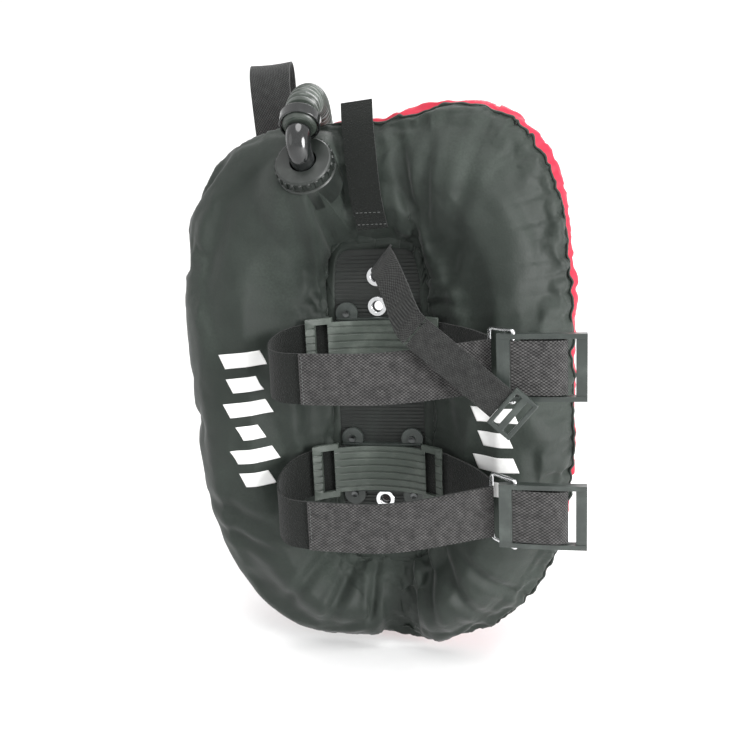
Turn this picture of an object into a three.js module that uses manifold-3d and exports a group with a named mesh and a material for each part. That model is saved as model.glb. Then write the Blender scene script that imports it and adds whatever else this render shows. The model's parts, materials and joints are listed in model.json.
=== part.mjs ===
// A single-tank diving wing on a backplate harness: an inflatable ring in two fabric skins, a ribbed
// centre panel with two tank cradles, two cam bands with over-centre lever buckles, a tank valve strap,
// a corrugated inflation hose, and the harness on the diver's side.
// Millimetres. +Z is up, -Y faces the tank and +Y faces the diver. The origin is the middle of the
// centre panel's tank-side face.
import * as THREE from "three";
import { LoftGeometry } from "three/addons/geometries/LoftGeometry.js";
import { mergeVertices } from "three/addons/utils/BufferGeometryUtils.js";
import Module from "manifold-3d";

const wasm = await Module();
wasm.setup();

// ---- Driving dimensions ----------------------------------------------------------------------

const clearance = 0.3; // between pieces that touch
const seat = 0.4; // between a sewn edge and its neighbour

// The wing's outline and the hole that the centre panel fills
const wingHalfWidth = 211;
const wingMiddle = 30; // height of the outline's own centre
const wingRiseRight = 298;
const wingRiseLeft = 268;
const wingDrop = 300;
const wingTopSquareness = 4;
const wingBottomSquareness = 2.8;
const holeHalfWidth = 52.4;
const holeHalfHeight = 174;
const holeSquareness = 8;

// How far the lobes swell from the seam plane
const lobeFront = 68;
const lobeBack = 38;
const lobeCrest = 0.55; // where the swelling is highest, from 0 at the hole to 1 at the outline
const skinThickness = 1.5;
const bladderInset = 3;

const panelThickness = 4;
const grommetOuter = 10.5;
const grommetInner = 6;
const grommetFlange = 1;
const boltSpacing = 279.4; // the standard eleven inches
const innerBoltSpacing = 215.4;

// Webbing
const webbingWidth = 50;
const webbingThickness = 2;

// Tank cradles
const cradleSpacing = 138;
const tankRadius = 102;
const saddleHalfWidth = 70;
const saddleHeight = 60;
const saddleThickness = 5;
const saddleFront = 11; // from the panel's face to the tank
const cradleBaseHalfWidth = 44;
const cradleFloor = 2;
const cradleWall = 2.2;
const cradleWallDepth = 9;
const lugRadius = 12;
const lugThickness = 5;
const lugAcross = 33.3;
const lugBeyondWall = 4.4;
const screwHeadRadius = 3.6;

// Cam bands and buckles
const bandReach = 113; // from the panel's face to the front run of a band
const bandLeft = 97;
const buckleAcross = 150; // the lever's pivot
const buckleOut = 112;
const wireRadius = 2;
const leverLength = 66;
const leverHeel = 15; // how far the lever goes on behind its pivot
const leverDepth = 10;
const railWidth = 4.6;
const leverEndBar = 10;
const ladderBar = 12;
const slackLoopEnd = 48;
const slackLoopHalfDepth = 6.5;
const upperDroop = 18;
const lowerDroop = 30;
const droopAtBuckle = 0.35; // the share of the droop that is left at the buckle

// Valve strap
const valveStrapWidth = 32;
const triglideWidth = 42;
const triglideHeight = 26;
const triglideThickness = 6;

// Port, elbow and inflation hose
const portPlace = new THREE.Vector3(-52, -58, 250);
const portTilt = THREE.MathUtils.degToRad(35);
const portRadius = 28.5;
const portFlangeTop = 4;
const portRingTop = 16;
const elbowRadius = 12;
const elbowRise = 20;
const elbowBend = 18;
const elbowTurn = THREE.MathUtils.degToRad(92);
const hoseRadius = 17;
const clampRadius = 20;
const clampBore = 17.8;
const clampLength = 11;

// Backplate
const plateHalfHeight = 170;
const plateHalfWidth = 125;
const plateThickness = 3;
const plateGap = 1.6; // from the back of the centre panel
const spineHalfWidth = 38;
const flankStart = 70;
const flankDepth = 30;
const flankEndDepth = 43;

// Harness
const strapAcross = 97; // from the middle to a shoulder strap where it lies on the plate
const strapTopHeight = 120;
const strapFootHeight = -112;
const beltHeight = -145;
const dRingWire = 2.5;
const dRingHalfWidth = 27;
const dRingDrop = 42;
const dRingCorner = 4;

// Dump valve
const dumpPlace = new THREE.Vector3(118, 40, -196);
const dumpRadius = 24;

// ---- Helpers ---------------------------------------------------------------------------------

const group = new THREE.Group();
const X = new THREE.Vector3(1, 0, 0);
const Y = new THREE.Vector3(0, 1, 0);
const Z = new THREE.Vector3(0, 0, 1);
const vec = (x, y, z) => new THREE.Vector3(x, y, z);

const finish = (color, roughness, metalness = 0) => ({ color, roughness, metalness });
const blackNylon = finish(0x2b2f2e, 0.75);
const redNylon = finish(0xb01830, 0.7);
const bladderFilm = finish(0x5c6468, 0.5);
const webbing = finish(0x3a3e3c, 0.85);
const loopTape = finish(0x202322, 0.95);
const panelRubber = finish(0x33383a, 0.8);
const buckleNylon = finish(0x5a615d, 0.5);
const blackPlastic = finish(0x141516, 0.3);
const steel = finish(0xc9ccce, 0.2, 1);
const hoseRubber = finish(0x1b1d1e, 0.6);

// A named mesh in the part.
function add(name, geometry, look, parent = group) {
  const mesh = new THREE.Mesh(geometry, new THREE.MeshStandardMaterial(look));
  mesh.name = name;
  parent.add(mesh);
  return mesh;
}

// The geometry with only merged positions, its faces turned to point out.
function closed(geometry) {
  const bare = new THREE.BufferGeometry();
  const loose = geometry.index ? geometry.toNonIndexed() : geometry;
  bare.setAttribute("position", loose.getAttribute("position"));
  const merged = mergeVertices(bare, 1e-4);
  const index = Array.from(merged.index.array);
  const point = merged.getAttribute("position");
  const corner = [vec(0, 0, 0), vec(0, 0, 0), vec(0, 0, 0)];
  let volume = 0;
  for (let i = 0; i < index.length; i += 3) {
    corner.forEach((c, k) => c.fromBufferAttribute(point, index[i + k]));
    volume += corner[0].dot(corner[1].cross(corner[2]));
  }
  if (volume < 0) {
    for (let i = 0; i < index.length; i += 3) {
      [index[i + 1], index[i + 2]] = [index[i + 2], index[i + 1]];
    }
  }
  merged.setIndex(index);
  return merged;
}

// A manifold solid of a closed geometry.
function solid(geometry) {
  const body = closed(geometry);
  const mesh = new wasm.Mesh({
    numProp: 3,
    vertProperties: new Float32Array(body.getAttribute("position").array),
    triVerts: new Uint32Array(body.index.array),
  });
  return new wasm.Manifold(mesh);
}

// The geometry of a manifold solid.
function fromSolid(body) {
  const mesh = body.getMesh();
  const geometry = new THREE.BufferGeometry();
  const position = new THREE.BufferAttribute(mesh.vertProperties, 3);
  geometry.setAttribute("position", position);
  geometry.setIndex(new THREE.BufferAttribute(mesh.triVerts, 1));
  return geometry;
}

const cut = (base, ...tools) =>
  fromSolid(tools.reduce((body, tool) => body.subtract(solid(tool)), solid(base)));
const join = (base, ...more) =>
  fromSolid(more.reduce((body, piece) => body.add(solid(piece)), solid(base)));
const common = (base, other) => fromSolid(solid(base).intersect(solid(other)));

const box = (x0, x1, y0, y1, z0, z1) =>
  new THREE.BoxGeometry(x1 - x0, y1 - y0, z1 - z0)
    .translate((x0 + x1) / 2, (y0 + y1) / 2, (z0 + z1) / 2);

// A round bar between two points.
function rod(from, to, radius, sides = 20) {
  const along = to.clone().sub(from);
  const bar = new THREE.CylinderGeometry(radius, radius, along.length(), sides);
  const turn = new THREE.Quaternion().setFromUnitVectors(Y, along.clone().normalize());
  const middle = from.clone().add(to).multiplyScalar(0.5);
  return bar.applyQuaternion(turn).translate(middle.x, middle.y, middle.z);
}

// A turned piece about an axis through a place, from [radius, distance along the axis] corners.
function turned(corners, place, axis, sides = 32) {
  const profile = corners.map(([radius, along]) => new THREE.Vector2(radius, along));
  const lathe = new THREE.LatheGeometry([...profile, profile[0]], sides);
  const turn = new THREE.Quaternion().setFromUnitVectors(Y, axis);
  return closed(lathe.applyQuaternion(turn).translate(place.x, place.y, place.z));
}

// A section of [across, thickness] corners swept along points, kept square to one direction.
function sweep(points, corners, across, ring = false) {
  const last = points.length - 1;
  const sections = points.map((point, i) => {
    const before = points[ring && i === 0 ? last : Math.max(i - 1, 0)];
    const after = points[ring && i === last ? 0 : Math.min(i + 1, last)];
    const along = after.clone().sub(before).normalize();
    const side = across.clone().addScaledVector(along, -across.dot(along)).normalize();
    const out = along.clone().cross(side);
    return corners.map(([a, b]) =>
      point.clone().addScaledVector(side, a).addScaledVector(out, b));
  });
  if (ring) {
    sections.push(sections[0]);
  }
  return closed(new LoftGeometry(sections, { capStart: !ring, capEnd: !ring }));
}

const flat = (width, thickness) => [
  [width / 2, thickness / 2],
  [-width / 2, thickness / 2],
  [-width / 2, -thickness / 2],
  [width / 2, -thickness / 2],
];

const round = (radius, sides = 10) =>
  Array.from({ length: sides }, (_, i) => {
    const angle = (2 * Math.PI * i) / sides;
    return [radius * Math.cos(angle), radius * Math.sin(angle)];
  });

const smooth = (points, steps, ring = false) => {
  const curve = new THREE.CatmullRomCurve3(points, ring, "centripetal");
  const line = curve.getSpacedPoints(steps);
  return ring ? line.slice(0, -1) : line;
};

const strap = (points, steps, width, across) =>
  sweep(smooth(points, steps), flat(width, webbingThickness), across);

// ---- The wing --------------------------------------------------------------------------------

// Distance from the middle to a rounded rectangle's edge at an angle.
const edgeAt = (angle, halfWidth, halfHeight, squareness) => {
  const x = Math.abs(Math.cos(angle) / halfWidth) ** squareness;
  const z = Math.abs(Math.sin(angle) / halfHeight) ** squareness;
  return (x + z) ** (-1 / squareness);
};

function outline(angle) {
  const up = Math.sin(angle) > 0;
  const lean = (1 + Math.cos(angle)) / 2; // 0 at the left and 1 at the right
  const share = THREE.MathUtils.smoothstep(lean, 0.42, 0.8);
  const rise = THREE.MathUtils.lerp(wingRiseLeft, wingRiseRight, share);
  const squareness = up ? wingTopSquareness : wingBottomSquareness;
  const reach = edgeAt(angle, wingHalfWidth, up ? rise : wingDrop, squareness);
  return new THREE.Vector2(reach * Math.cos(angle), wingMiddle + reach * Math.sin(angle));
}

function holeEdge(angle, inset = 0) {
  const reach = edgeAt(angle, holeHalfWidth - inset, holeHalfHeight - inset, holeSquareness);
  return new THREE.Vector2(reach * Math.cos(angle), reach * Math.sin(angle));
}

// The swelling from the hole (0) to the outline (1), as a share of its highest.
const swelling = (share) =>
  share < lobeCrest
    ? Math.sin((Math.PI / 2) * (share / lobeCrest)) ** 2
    : Math.cos((Math.PI / 2) * ((share - lobeCrest) / (1 - lobeCrest))) ** 0.6;

// The lobes are pinched where they meet at the top, and creased at the bottom.
const pinchDepth = 0.6;
const pinchSpread = 12;
const creaseDepth = 0.72;
const creaseSpread = 8;
function fullness(angle) {
  const degrees = THREE.MathUtils.radToDeg(angle);
  const pinch = pinchDepth * Math.exp(-(((degrees - 90) / pinchSpread) ** 2));
  const crease = creaseDepth * Math.exp(-(((degrees - 270) / creaseSpread) ** 2));
  return (1 - pinch - crease) * (1 - 0.12 * Math.sin(angle) ** 2);
}

const ringSteps = 48;
const acrossSteps = 10;

// A ring of sections, each given by an angle. front and back are lists of [share, depth in Y].
function ringOf(section) {
  const sections = [];
  for (let i = 0; i <= ringSteps; i += 1) {
    const angle = (2 * Math.PI * (i % ringSteps)) / ringSteps;
    const inner = holeEdge(angle);
    const outer = outline(angle);
    sections.push(section(angle).map(([share, depth]) => {
      const at = inner.clone().lerp(outer, share);
      return vec(at.x, depth, at.y);
    }));
  }
  return closed(new LoftGeometry(sections));
}

const spread = (from, to, steps) =>
  Array.from({ length: steps + 1 }, (_, i) => {
    const even = i / steps;
    const eased = (1 - Math.cos(Math.PI * even)) / 2;
    return from + (to - from) * eased;
  });

// One fabric skin, on the tank side (-1) or the diver side (+1).
function skin(side, height) {
  return ringOf((angle) => {
    const swell = (share, extra) =>
      side * (height * fullness(angle) * swelling(share) + clearance / 2 + extra);
    const shares = spread(0, 1, acrossSteps);
    const outside = shares.map((share) => [share, swell(share, skinThickness)]);
    const inside = shares.map((share) => [share, swell(share, 0)]).reverse();
    return [...outside, ...inside];
  });
}

const thinnest = 0.6;
const bladder = ringOf((angle) => {
  const shares = spread(0, 1, acrossSteps).slice(3, -1);
  const depth = (share, height) =>
    Math.max(thinnest, height * fullness(angle) * swelling(share) - bladderInset);
  const front = shares.map((share) => [share, -depth(share, lobeFront)]).reverse();
  const back = shares.map((share) => [share, depth(share, lobeBack)]);
  return [...front, ...back];
});

// A solid that is a little larger than the wing's tank side or diver side, to seat pieces on it.
function wingEnvelope(side, height) {
  return ringOf((angle) => {
    const shares = spread(0, 1, acrossSteps);
    const outside = shares.map((share) => [
      share,
      side * (height * fullness(angle) * swelling(share) + skinThickness + 1.5 * clearance),
    ]);
    return [...outside, [1, -side * clearance], [0, -side * clearance]];
  });
}

add("wing_front_skin", skin(-1, lobeFront), blackNylon);
add("wing_back_skin", skin(1, lobeBack), redNylon);
add("air_bladder", bladder, bladderFilm);

// ---- Centre panel and grommets ---------------------------------------------------------------

const grommetHeights = [boltSpacing / 2, innerBoltSpacing / 2, -innerBoltSpacing / 2, -boltSpacing / 2];
const grommetBarrel = 7;
// The hole's edge, without the points that lie on its straight runs.
const panelEdge = Array.from({ length: ringSteps }, (_, i) => holeEdge((2 * Math.PI * i) / ringSteps, seat))
  .filter((point, i, all) => {
    const before = all.at(i - 1).clone().sub(point);
    const after = all[(i + 1) % all.length].clone().sub(point);
    return Math.abs(before.cross(after)) > 0.1;
  });
const panelOutline = new THREE.Shape(panelEdge);
for (const height of grommetHeights) {
  panelOutline.holes.push(new THREE.Path().absarc(0, height, grommetBarrel + clearance, 0, 2 * Math.PI, true));
}
// An outline drawn in X and Z, extruded along Y between two depths.
function upright(shape, y0, y1, curveSegments = 8) {
  const plate = new THREE.ExtrudeGeometry(shape, { depth: y1 - y0, bevelEnabled: false, curveSegments });
  return closed(plate.rotateX(Math.PI / 2).translate(0, y1, 0));
}
add("centre_panel", upright(panelOutline, 0, panelThickness), panelRubber);

const grommetNames = ["grommet_top", "grommet_upper", "grommet_lower", "grommet_bottom"];
grommetHeights.forEach((height, i) => {
  const front = -clearance;
  const back = panelThickness + clearance;
  const corners = [
    [grommetInner, front - grommetFlange],
    [grommetOuter, front - grommetFlange],
    [grommetOuter, front],
    [grommetBarrel, front],
    [grommetBarrel, back],
    [grommetOuter, back],
    [grommetOuter, back + grommetFlange],
    [grommetInner, back + grommetFlange],
  ];
  add(grommetNames[i], turned(corners, vec(0, 0, height), Y, 24), steel);
});

// ---- Tank cradles and cam bands --------------------------------------------------------------

const half = webbingWidth / 2;
const baseBack = -clearance;
const baseFront = baseBack - cradleFloor;
const bandBack = baseFront - clearance - webbingThickness / 2;
const channel = half + clearance;

// Where the tank's surface lies in front of the panel's face.
const tankFace = (x, extra = 0) =>
  -saddleFront - tankRadius + Math.sqrt((tankRadius + extra) ** 2 - x * x);

// How far the webbing sags below the cradle's middle line at a distance in front of the panel.
function sagAt(x, y, droop) {
  const forward = THREE.MathUtils.smoothstep(-y, 25, bandReach);
  const rightward = THREE.MathUtils.smoothstep(x, 0, buckleAcross);
  return -droop * forward * THREE.MathUtils.lerp(1, droopAtBuckle, rightward);
}

// A band swept in plan at no height, moved to its height and let down by its sag, its edges upright.
function sagged(geometry, height, droop) {
  const point = geometry.getAttribute("position");
  for (let i = 0; i < point.count; i += 1) {
    const lower = sagAt(point.getX(i), point.getY(i), droop);
    point.setZ(i, point.getZ(i) + height + lower);
  }
  return geometry;
}

// The plan of the band's long piece: from the bail, behind the saddle and round to the front.
const bailBack = vec(buckleAcross - 24, -buckleOut + 24, 0);
const bandEndAcross = buckleAcross - leverHeel - 6;
const behindSaddle = (x) => Math.min(tankFace(x, saddleThickness) + webbingThickness + clearance, bandBack);
const bandPlan = [
  vec(bailBack.x - 1.3, bailBack.y + 2.35, 0),
  vec(113, -69, 0),
  vec(99, -54, 0),
  vec(84, -42, 0),
  vec(saddleHalfWidth, behindSaddle(saddleHalfWidth), 0),
  vec(52, behindSaddle(52), 0),
  vec(36, behindSaddle(36) + 3, 0),
  vec(18, bandBack - 0.8, 0),
  vec(0, bandBack - 0.4, 0),
  vec(-18, bandBack - 0.8, 0),
  vec(-36, behindSaddle(36) + 3, 0),
  vec(-52, behindSaddle(52), 0),
  vec(-saddleHalfWidth, behindSaddle(saddleHalfWidth), 0),
  vec(-83, -42, 0),
  vec(-bandLeft + 4, -57, 0),
  vec(-bandLeft, -75, 0),
  vec(-bandLeft + 5, -92, 0),
  vec(-bandLeft + 18, -bandReach + 8, 0),
  vec(-bandLeft + 37, -bandReach + 3, 0),
  vec(0, -bandReach, 0),
  vec(60, -bandReach, 0),
  vec(100, -bandReach + 5, 0),
  vec(bandEndAcross, -buckleOut + 10, 0),
];

const tailEndAcross = -bandLeft + 33;

// A cradle with its band, centred on a height. The buckle's own droop moves it as a whole.
function cradleAndBand(name, height, droop, parent) {
  const lugs = [-1, 1].flatMap((side) => [-1, 1].map((up) =>
    vec(side * lugAcross, 0, height + up * (channel + cradleWall + lugBeyondWall))));
  const floor = box(-cradleBaseHalfWidth, cradleBaseHalfWidth, baseFront, baseBack,
    height - channel - cradleWall, height + channel + cradleWall);
  const walls = [-1, 1].map((up) => {
    const near = height + up * channel;
    const far = height + up * (channel + cradleWall);
    return box(-cradleBaseHalfWidth, cradleBaseHalfWidth, -cradleWallDepth, baseBack - 0.5,
      Math.min(near, far), Math.max(near, far));
  });
  const lugDiscs = lugs.map((lug) =>
    cut(
      rod(lug.clone().setY(-lugThickness), lug.clone().setY(baseBack), lugRadius, 24),
      box(-cradleBaseHalfWidth, cradleBaseHalfWidth, -2 * lugThickness, 1, height - channel, height + channel),
    ));
  add(`cradle_base_${name}`, join(floor, ...walls, ...lugDiscs), blackPlastic, parent);
  lugs.forEach((lug, i) => {
    const top = lug.clone().setY(-lugThickness - clearance);
    const corners = [[0, 0], [screwHeadRadius, 0], [screwHeadRadius, -1.6], [screwHeadRadius - 1.6, -2.6], [0, -2.6]];
    const head = turned(corners.slice(0, 5), top, Y, 16);
    add(`cradle_screw_${name}_${i + 1}`, head, steel, parent);
  });

  // The saddle is a plate bent to the tank, with a window and an end bar at each end.
  const steps = 16;
  const frontLine = [];
  const backLine = [];
  for (let i = 0; i <= steps; i += 1) {
    const x = -saddleHalfWidth + (2 * saddleHalfWidth * i) / steps;
    frontLine.push(new THREE.Vector2(x, tankFace(x)));
    backLine.unshift(new THREE.Vector2(x, tankFace(x, saddleThickness)));
  }
  const bent = new THREE.Shape([...frontLine, ...backLine]);
  const saddlePlate = new THREE.ExtrudeGeometry(bent, { depth: saddleHeight, bevelEnabled: false })
    .translate(0, 0, height - saddleHeight / 2);
  const windows = [-1, 1].map((side) => {
    const near = side * (cradleBaseHalfWidth + 6);
    const far = side * (saddleHalfWidth - 8);
    return box(Math.min(near, far), Math.max(near, far), -60, 10, height - 23, height + 23);
  });
  // The middle of the saddle is lower, so that it drops between the base's walls.
  const trims = [-1, 1].map((up) => {
    const near = height + up * (channel - clearance);
    const far = height + up * saddleHeight;
    return box(-cradleBaseHalfWidth - 2, cradleBaseHalfWidth + 2, -60, 10, Math.min(near, far), Math.max(near, far));
  });
  add(`cradle_saddle_${name}`, cut(saddlePlate, ...windows, ...trims), buckleNylon, parent);

  // The band, its loop tape and its tail lie one on the other at the front.
  const line = smooth(bandPlan, 52);
  const section = flat(webbingWidth, webbingThickness);
  add(`cam_band_${name}`, sagged(sweep(line, section, Z), height, droop), webbing, parent);
  const layer = webbingThickness + clearance;
  const frontRun = line.filter((point, i) => i > line.length / 2 && point.x > tailEndAcross);
  const outerRun = frontRun.map((point) => vec(point.x, point.y - layer, 0));
  add(`cam_band_tail_${name}`, sagged(sweep(outerRun, section, Z), height, droop), webbing, parent);
}

// The steel bail, the lever on it and the slack webbing that the lever carries.
function buckle(name, height, droop, parent) {
  const lift = height + sagAt(buckleAcross, -buckleOut, droop);
  const pivot = vec(buckleAcross, -buckleOut, lift);
  const railOut = half + 1.5 + railWidth;
  const wireAt = railOut + clearance + wireRadius;
  const rear = vec(bailBack.x, bailBack.y, lift);
  const rectangle = [
    pivot.clone().addScaledVector(Z, wireAt),
    rear.clone().addScaledVector(Z, wireAt),
    rear.clone().addScaledVector(Z, -wireAt),
    pivot.clone().addScaledVector(Z, -wireAt),
  ];
  // Rounded corners, tight beside the lever and wide where the webbing holds the bail.
  const cornerRadii = [2.2, 6, 6, 2.2];
  const loop = rectangle.flatMap((corner, i) => {
    const cornerRadius = cornerRadii[i];
    const before = rectangle[(i + 3) % 4];
    const after = rectangle[(i + 1) % 4];
    const near = corner.clone().add(before.clone().sub(corner).setLength(cornerRadius));
    const far = corner.clone().add(after.clone().sub(corner).setLength(cornerRadius));
    return new THREE.QuadraticBezierCurve3(near, corner, far).getPoints(4);
  });
  const plane = pivot.clone().sub(rear).cross(Z).normalize();
  add(`bail_${name}`, sweep(loop, round(wireRadius), plane, true), steel, parent);

  // The lever in its own frame: +X along it, -Y towards the tank's far side, +Z along the pivot.
  const inner = half + 1.5;
  const rails = [-1, 1].map((side) => {
    const blank = new THREE.Shape();
    blank.moveTo(-leverHeel, -leverDepth / 2);
    blank.lineTo(-leverHeel, leverDepth / 2 - 3);
    blank.quadraticCurveTo(0, leverDepth / 2 + 1, 20, leverDepth / 2 - 1);
    blank.quadraticCurveTo(leverLength * 0.6, leverDepth / 2 - 3, leverLength, leverDepth / 2);
    blank.lineTo(leverLength, -leverDepth / 2);
    blank.quadraticCurveTo(leverLength * 0.5, -leverDepth / 2 - 2, -leverHeel, -leverDepth / 2);
    const rail = new THREE.ExtrudeGeometry(blank, { depth: railWidth, bevelEnabled: false, curveSegments: 6 });
    return rail.translate(0, 0, side > 0 ? inner : -inner - railWidth);
  });
  const endBar = box(leverLength - leverEndBar, leverLength, -4, 4, -inner - 1, inner + 1);
  const ladder = box(-leverHeel, -leverHeel + ladderBar, -leverDepth / 2, -leverDepth / 2 + 3.5, -inner - 1, inner + 1);
  const bore = rod(vec(0, 0, -inner - railWidth - 1), vec(0, 0, inner + railWidth + 1), wireRadius + clearance, 16);
  const lever = cut(join(rails[0], rails[1], endBar, ladder), bore);
  add(`cam_lever_${name}`, lever.translate(pivot.x, pivot.y, pivot.z), buckleNylon, parent);

  // The slack webbing runs out in front, folds and comes back behind.
  const out = -slackLoopHalfDepth;
  const slack = smooth([
    vec(ladderBar - leverHeel + 0.7, -leverDepth / 2 + 1.4, 0),
    vec(3, -leverDepth / 2 + 0.4, 0),
    vec(20, out, 0),
    vec(slackLoopEnd - 12, out - 0.6, 0),
    vec(slackLoopEnd - 3, out + 2.2, 0),
    vec(slackLoopEnd, 0, 0),
    vec(slackLoopEnd - 3, -out - 2.2, 0),
    vec(slackLoopEnd - 12, -out, 0),
    vec(20, -out, 0),
    vec(6, -out - 1.5, 0),
  ], 22);
  const loopOnLever = sweep(slack, flat(webbingWidth, webbingThickness), Z);
  add(`slack_webbing_${name}`, loopOnLever.translate(pivot.x, pivot.y, pivot.z), webbing, parent);
}

const bands = [
  ["upper", cradleSpacing / 2, upperDroop],
  ["lower", -cradleSpacing / 2, lowerDroop],
];
for (const [name, height, droop] of bands) {
  cradleAndBand(name, height, droop, group);
  buckle(name, height, droop, group);
}

// ---- Valve strap -----------------------------------------------------------------------------

// It comes down the valley between the lobes and falls forward over the upper band.
const strapHinge = vec(62, -bandReach - 9, 98);
const strapEnd = vec(140, -bandReach - 17, 32);
const fallDirection = strapEnd.clone().sub(strapHinge).normalize();
const fallAcross = fallDirection.clone().cross(Y).normalize();
const hingeGap = 1;

const valleyStrap = strap([
  vec(-8, -21, 316),
  vec(-6, -30, 296),
  vec(-3, -35, 262),
  vec(-1, -32, 226),
  vec(1, -22, 201),
  vec(2, -14, 190),
], 14, valveStrapWidth, X);
add("valve_strap_upper", valleyStrap, webbing);

const foldLine = smooth([
  vec(8, -1.7, 160),
  vec(8, -8, 160),
  vec(10, -20, 159),
  vec(22, -52, 150),
  vec(40, -92, 128),
  vec(50, -bandReach + 1, 112),
  strapHinge.clone().addScaledVector(fallDirection, -7),
  strapHinge.clone().addScaledVector(fallDirection, -hingeGap),
], 16);
add("valve_strap_front", sweep(foldLine, flat(valveStrapWidth, webbingThickness), fallAcross), webbing);

const tailLine = smooth([
  strapHinge.clone().addScaledVector(fallDirection, hingeGap),
  strapHinge.clone().lerp(strapEnd, 0.5),
  strapEnd,
], 6);
add("valve_strap_tail", sweep(tailLine, flat(valveStrapWidth, webbingThickness), fallAcross), webbing);

// The triglide is a flat frame with two slots and a middle bar, just past the webbing's end.
const slot = (z0, z1) => box(-valveStrapWidth / 2 - 1, valveStrapWidth / 2 + 1, -10, 10, z0, z1);
const triglideBlank = box(-triglideWidth / 2, triglideWidth / 2, -triglideThickness / 2, triglideThickness / 2,
  -triglideHeight / 2, triglideHeight / 2);
const triglide = cut(triglideBlank, slot(-9, -3), slot(3, 9));
const triglideFrame = new THREE.Matrix4().makeBasis(
  fallAcross,
  fallDirection.clone().cross(fallAcross),
  fallDirection,
);
triglide.applyMatrix4(triglideFrame);
const triglidePlace = strapEnd.clone().addScaledVector(fallDirection, triglideHeight / 2 + clearance);
triglide.translate(triglidePlace.x, triglidePlace.y, triglidePlace.z);
add("triglide", closed(triglide), buckleNylon);

// ---- Port, elbow and hose --------------------------------------------------------------------

const portAxis = vec(0, -Math.cos(portTilt), Math.sin(portTilt));
const portUp = vec(0, Math.sin(portTilt), Math.cos(portTilt));
const frontEnvelope = wingEnvelope(-1, lobeFront);
const flangeBlank = turned([
  [0, -26],
  [portRadius + 1.5, -26],
  [portRadius + 1.5, portFlangeTop - 1.5],
  [portRadius, portFlangeTop],
  [0, portFlangeTop],
], portPlace, portAxis, 40);
add("port_flange", cut(flangeBlank, frontEnvelope), blackPlastic);

const elbowFlange = elbowRadius + 9;
const ringFoot = portFlangeTop + clearance;
add("port_ring", turned([
  [elbowFlange + clearance, ringFoot],
  [portRadius, ringFoot],
  [portRadius, portRingTop - 1.5],
  [portRadius - 1.5, portRingTop],
  [elbowRadius + 1.2, portRingTop],
  [elbowRadius + 1.2, ringFoot + 3.2],
  [elbowFlange + clearance, ringFoot + 3.2],
], portPlace, portAxis, 40), blackPlastic);

const bendStart = portPlace.clone().addScaledVector(portAxis, elbowRise);
const bendMiddle = bendStart.clone().addScaledVector(portUp, elbowBend);
const bendPoints = Array.from({ length: 9 }, (_, i) => {
  const angle = (elbowTurn * i) / 8;
  return bendMiddle.clone()
    .addScaledVector(portUp, -elbowBend * Math.cos(angle))
    .addScaledVector(portAxis, elbowBend * Math.sin(angle));
});
const elbowFoot = portPlace.clone().addScaledVector(portAxis, ringFoot);
const elbowTube = sweep([elbowFoot, ...bendPoints], round(elbowRadius, 24), X);
const elbowCollar = turned([
  [0, ringFoot],
  [elbowFlange, ringFoot],
  [elbowFlange, ringFoot + 2.9],
  [0, ringFoot + 2.9],
], portPlace, portAxis, 32);
add("port_elbow", join(elbowTube, elbowCollar), blackPlastic);

// The hose leaves the elbow upward, passes over the wing's top edge and hangs behind the shoulder.
const hoseRoute = [
  [-52, -77.6, 288.1],
  [-52.1, -74.6, 292.1],
  [-52.5, -69.4, 298.1],
  [-53.2, -60.4, 305.6],
  [-54.2, -49.2, 312.2],
  [-55.4, -36.9, 317],
  [-56.9, -24, 320],
  [-58.6, -11, 321],
  [-60.5, 2, 320],
  [-62.6, 14.8, 316.8],
  [-64.8, 27, 311.8],
  [-67, 38.2, 304.8],
  [-69, 50, 294.2],
  [-70.8, 61, 279],
  [-71.9, 69.2, 261],
  [-72.2, 74.6, 241],
  [-71.8, 77.6, 219],
  [-71, 79, 195],
  [-70.2, 79.5, 168],
  [-69.6, 79.5, 142],
  [-69.2, 79.5, 116],
  [-69, 79.5, 90],
  [-69, 79.5, 62],
].map(([x, y, z]) => vec(x, y, z));
const hoseCurve = new THREE.CatmullRomCurve3(hoseRoute, false, "centripetal");
const hoseSection = new THREE.Shape(round(hoseRadius, 12).map(([a, b]) => new THREE.Vector2(a, b)));
const hoseTube = new THREE.ExtrudeGeometry(hoseSection, {
  steps: 24,
  extrudePath: hoseCurve,
  bevelEnabled: false,
});
add("inflation_hose", closed(hoseTube), hoseRubber);

// ---- Power inflator --------------------------------------------------------------------------

const inflator = vec(hoseRoute.at(-1).x, hoseRoute.at(-1).y, hoseRoute.at(-1).z - clearance);
const inflatorLength = 96;
const inflatorBody = turned([
  [0, 0],
  [hoseRadius, 0],
  [hoseRadius, -16],
  [14.5, -22],
  [14.5, -40],
  [17, -46],
  [17, -inflatorLength + 4],
  [15, -inflatorLength],
  [0, -inflatorLength],
], inflator, Z, 28);
const inflateHeight = inflator.z - 62;
const inflateBoss = rod(vec(inflator.x, inflator.y, inflateHeight), vec(inflator.x, inflator.y + 24, inflateHeight), 12, 24);
const mouthHeight = inflator.z - 78;
const mouthBoss = rod(vec(inflator.x, inflator.y, mouthHeight), vec(inflator.x + 26, inflator.y, mouthHeight), 8.5, 20);
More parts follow.
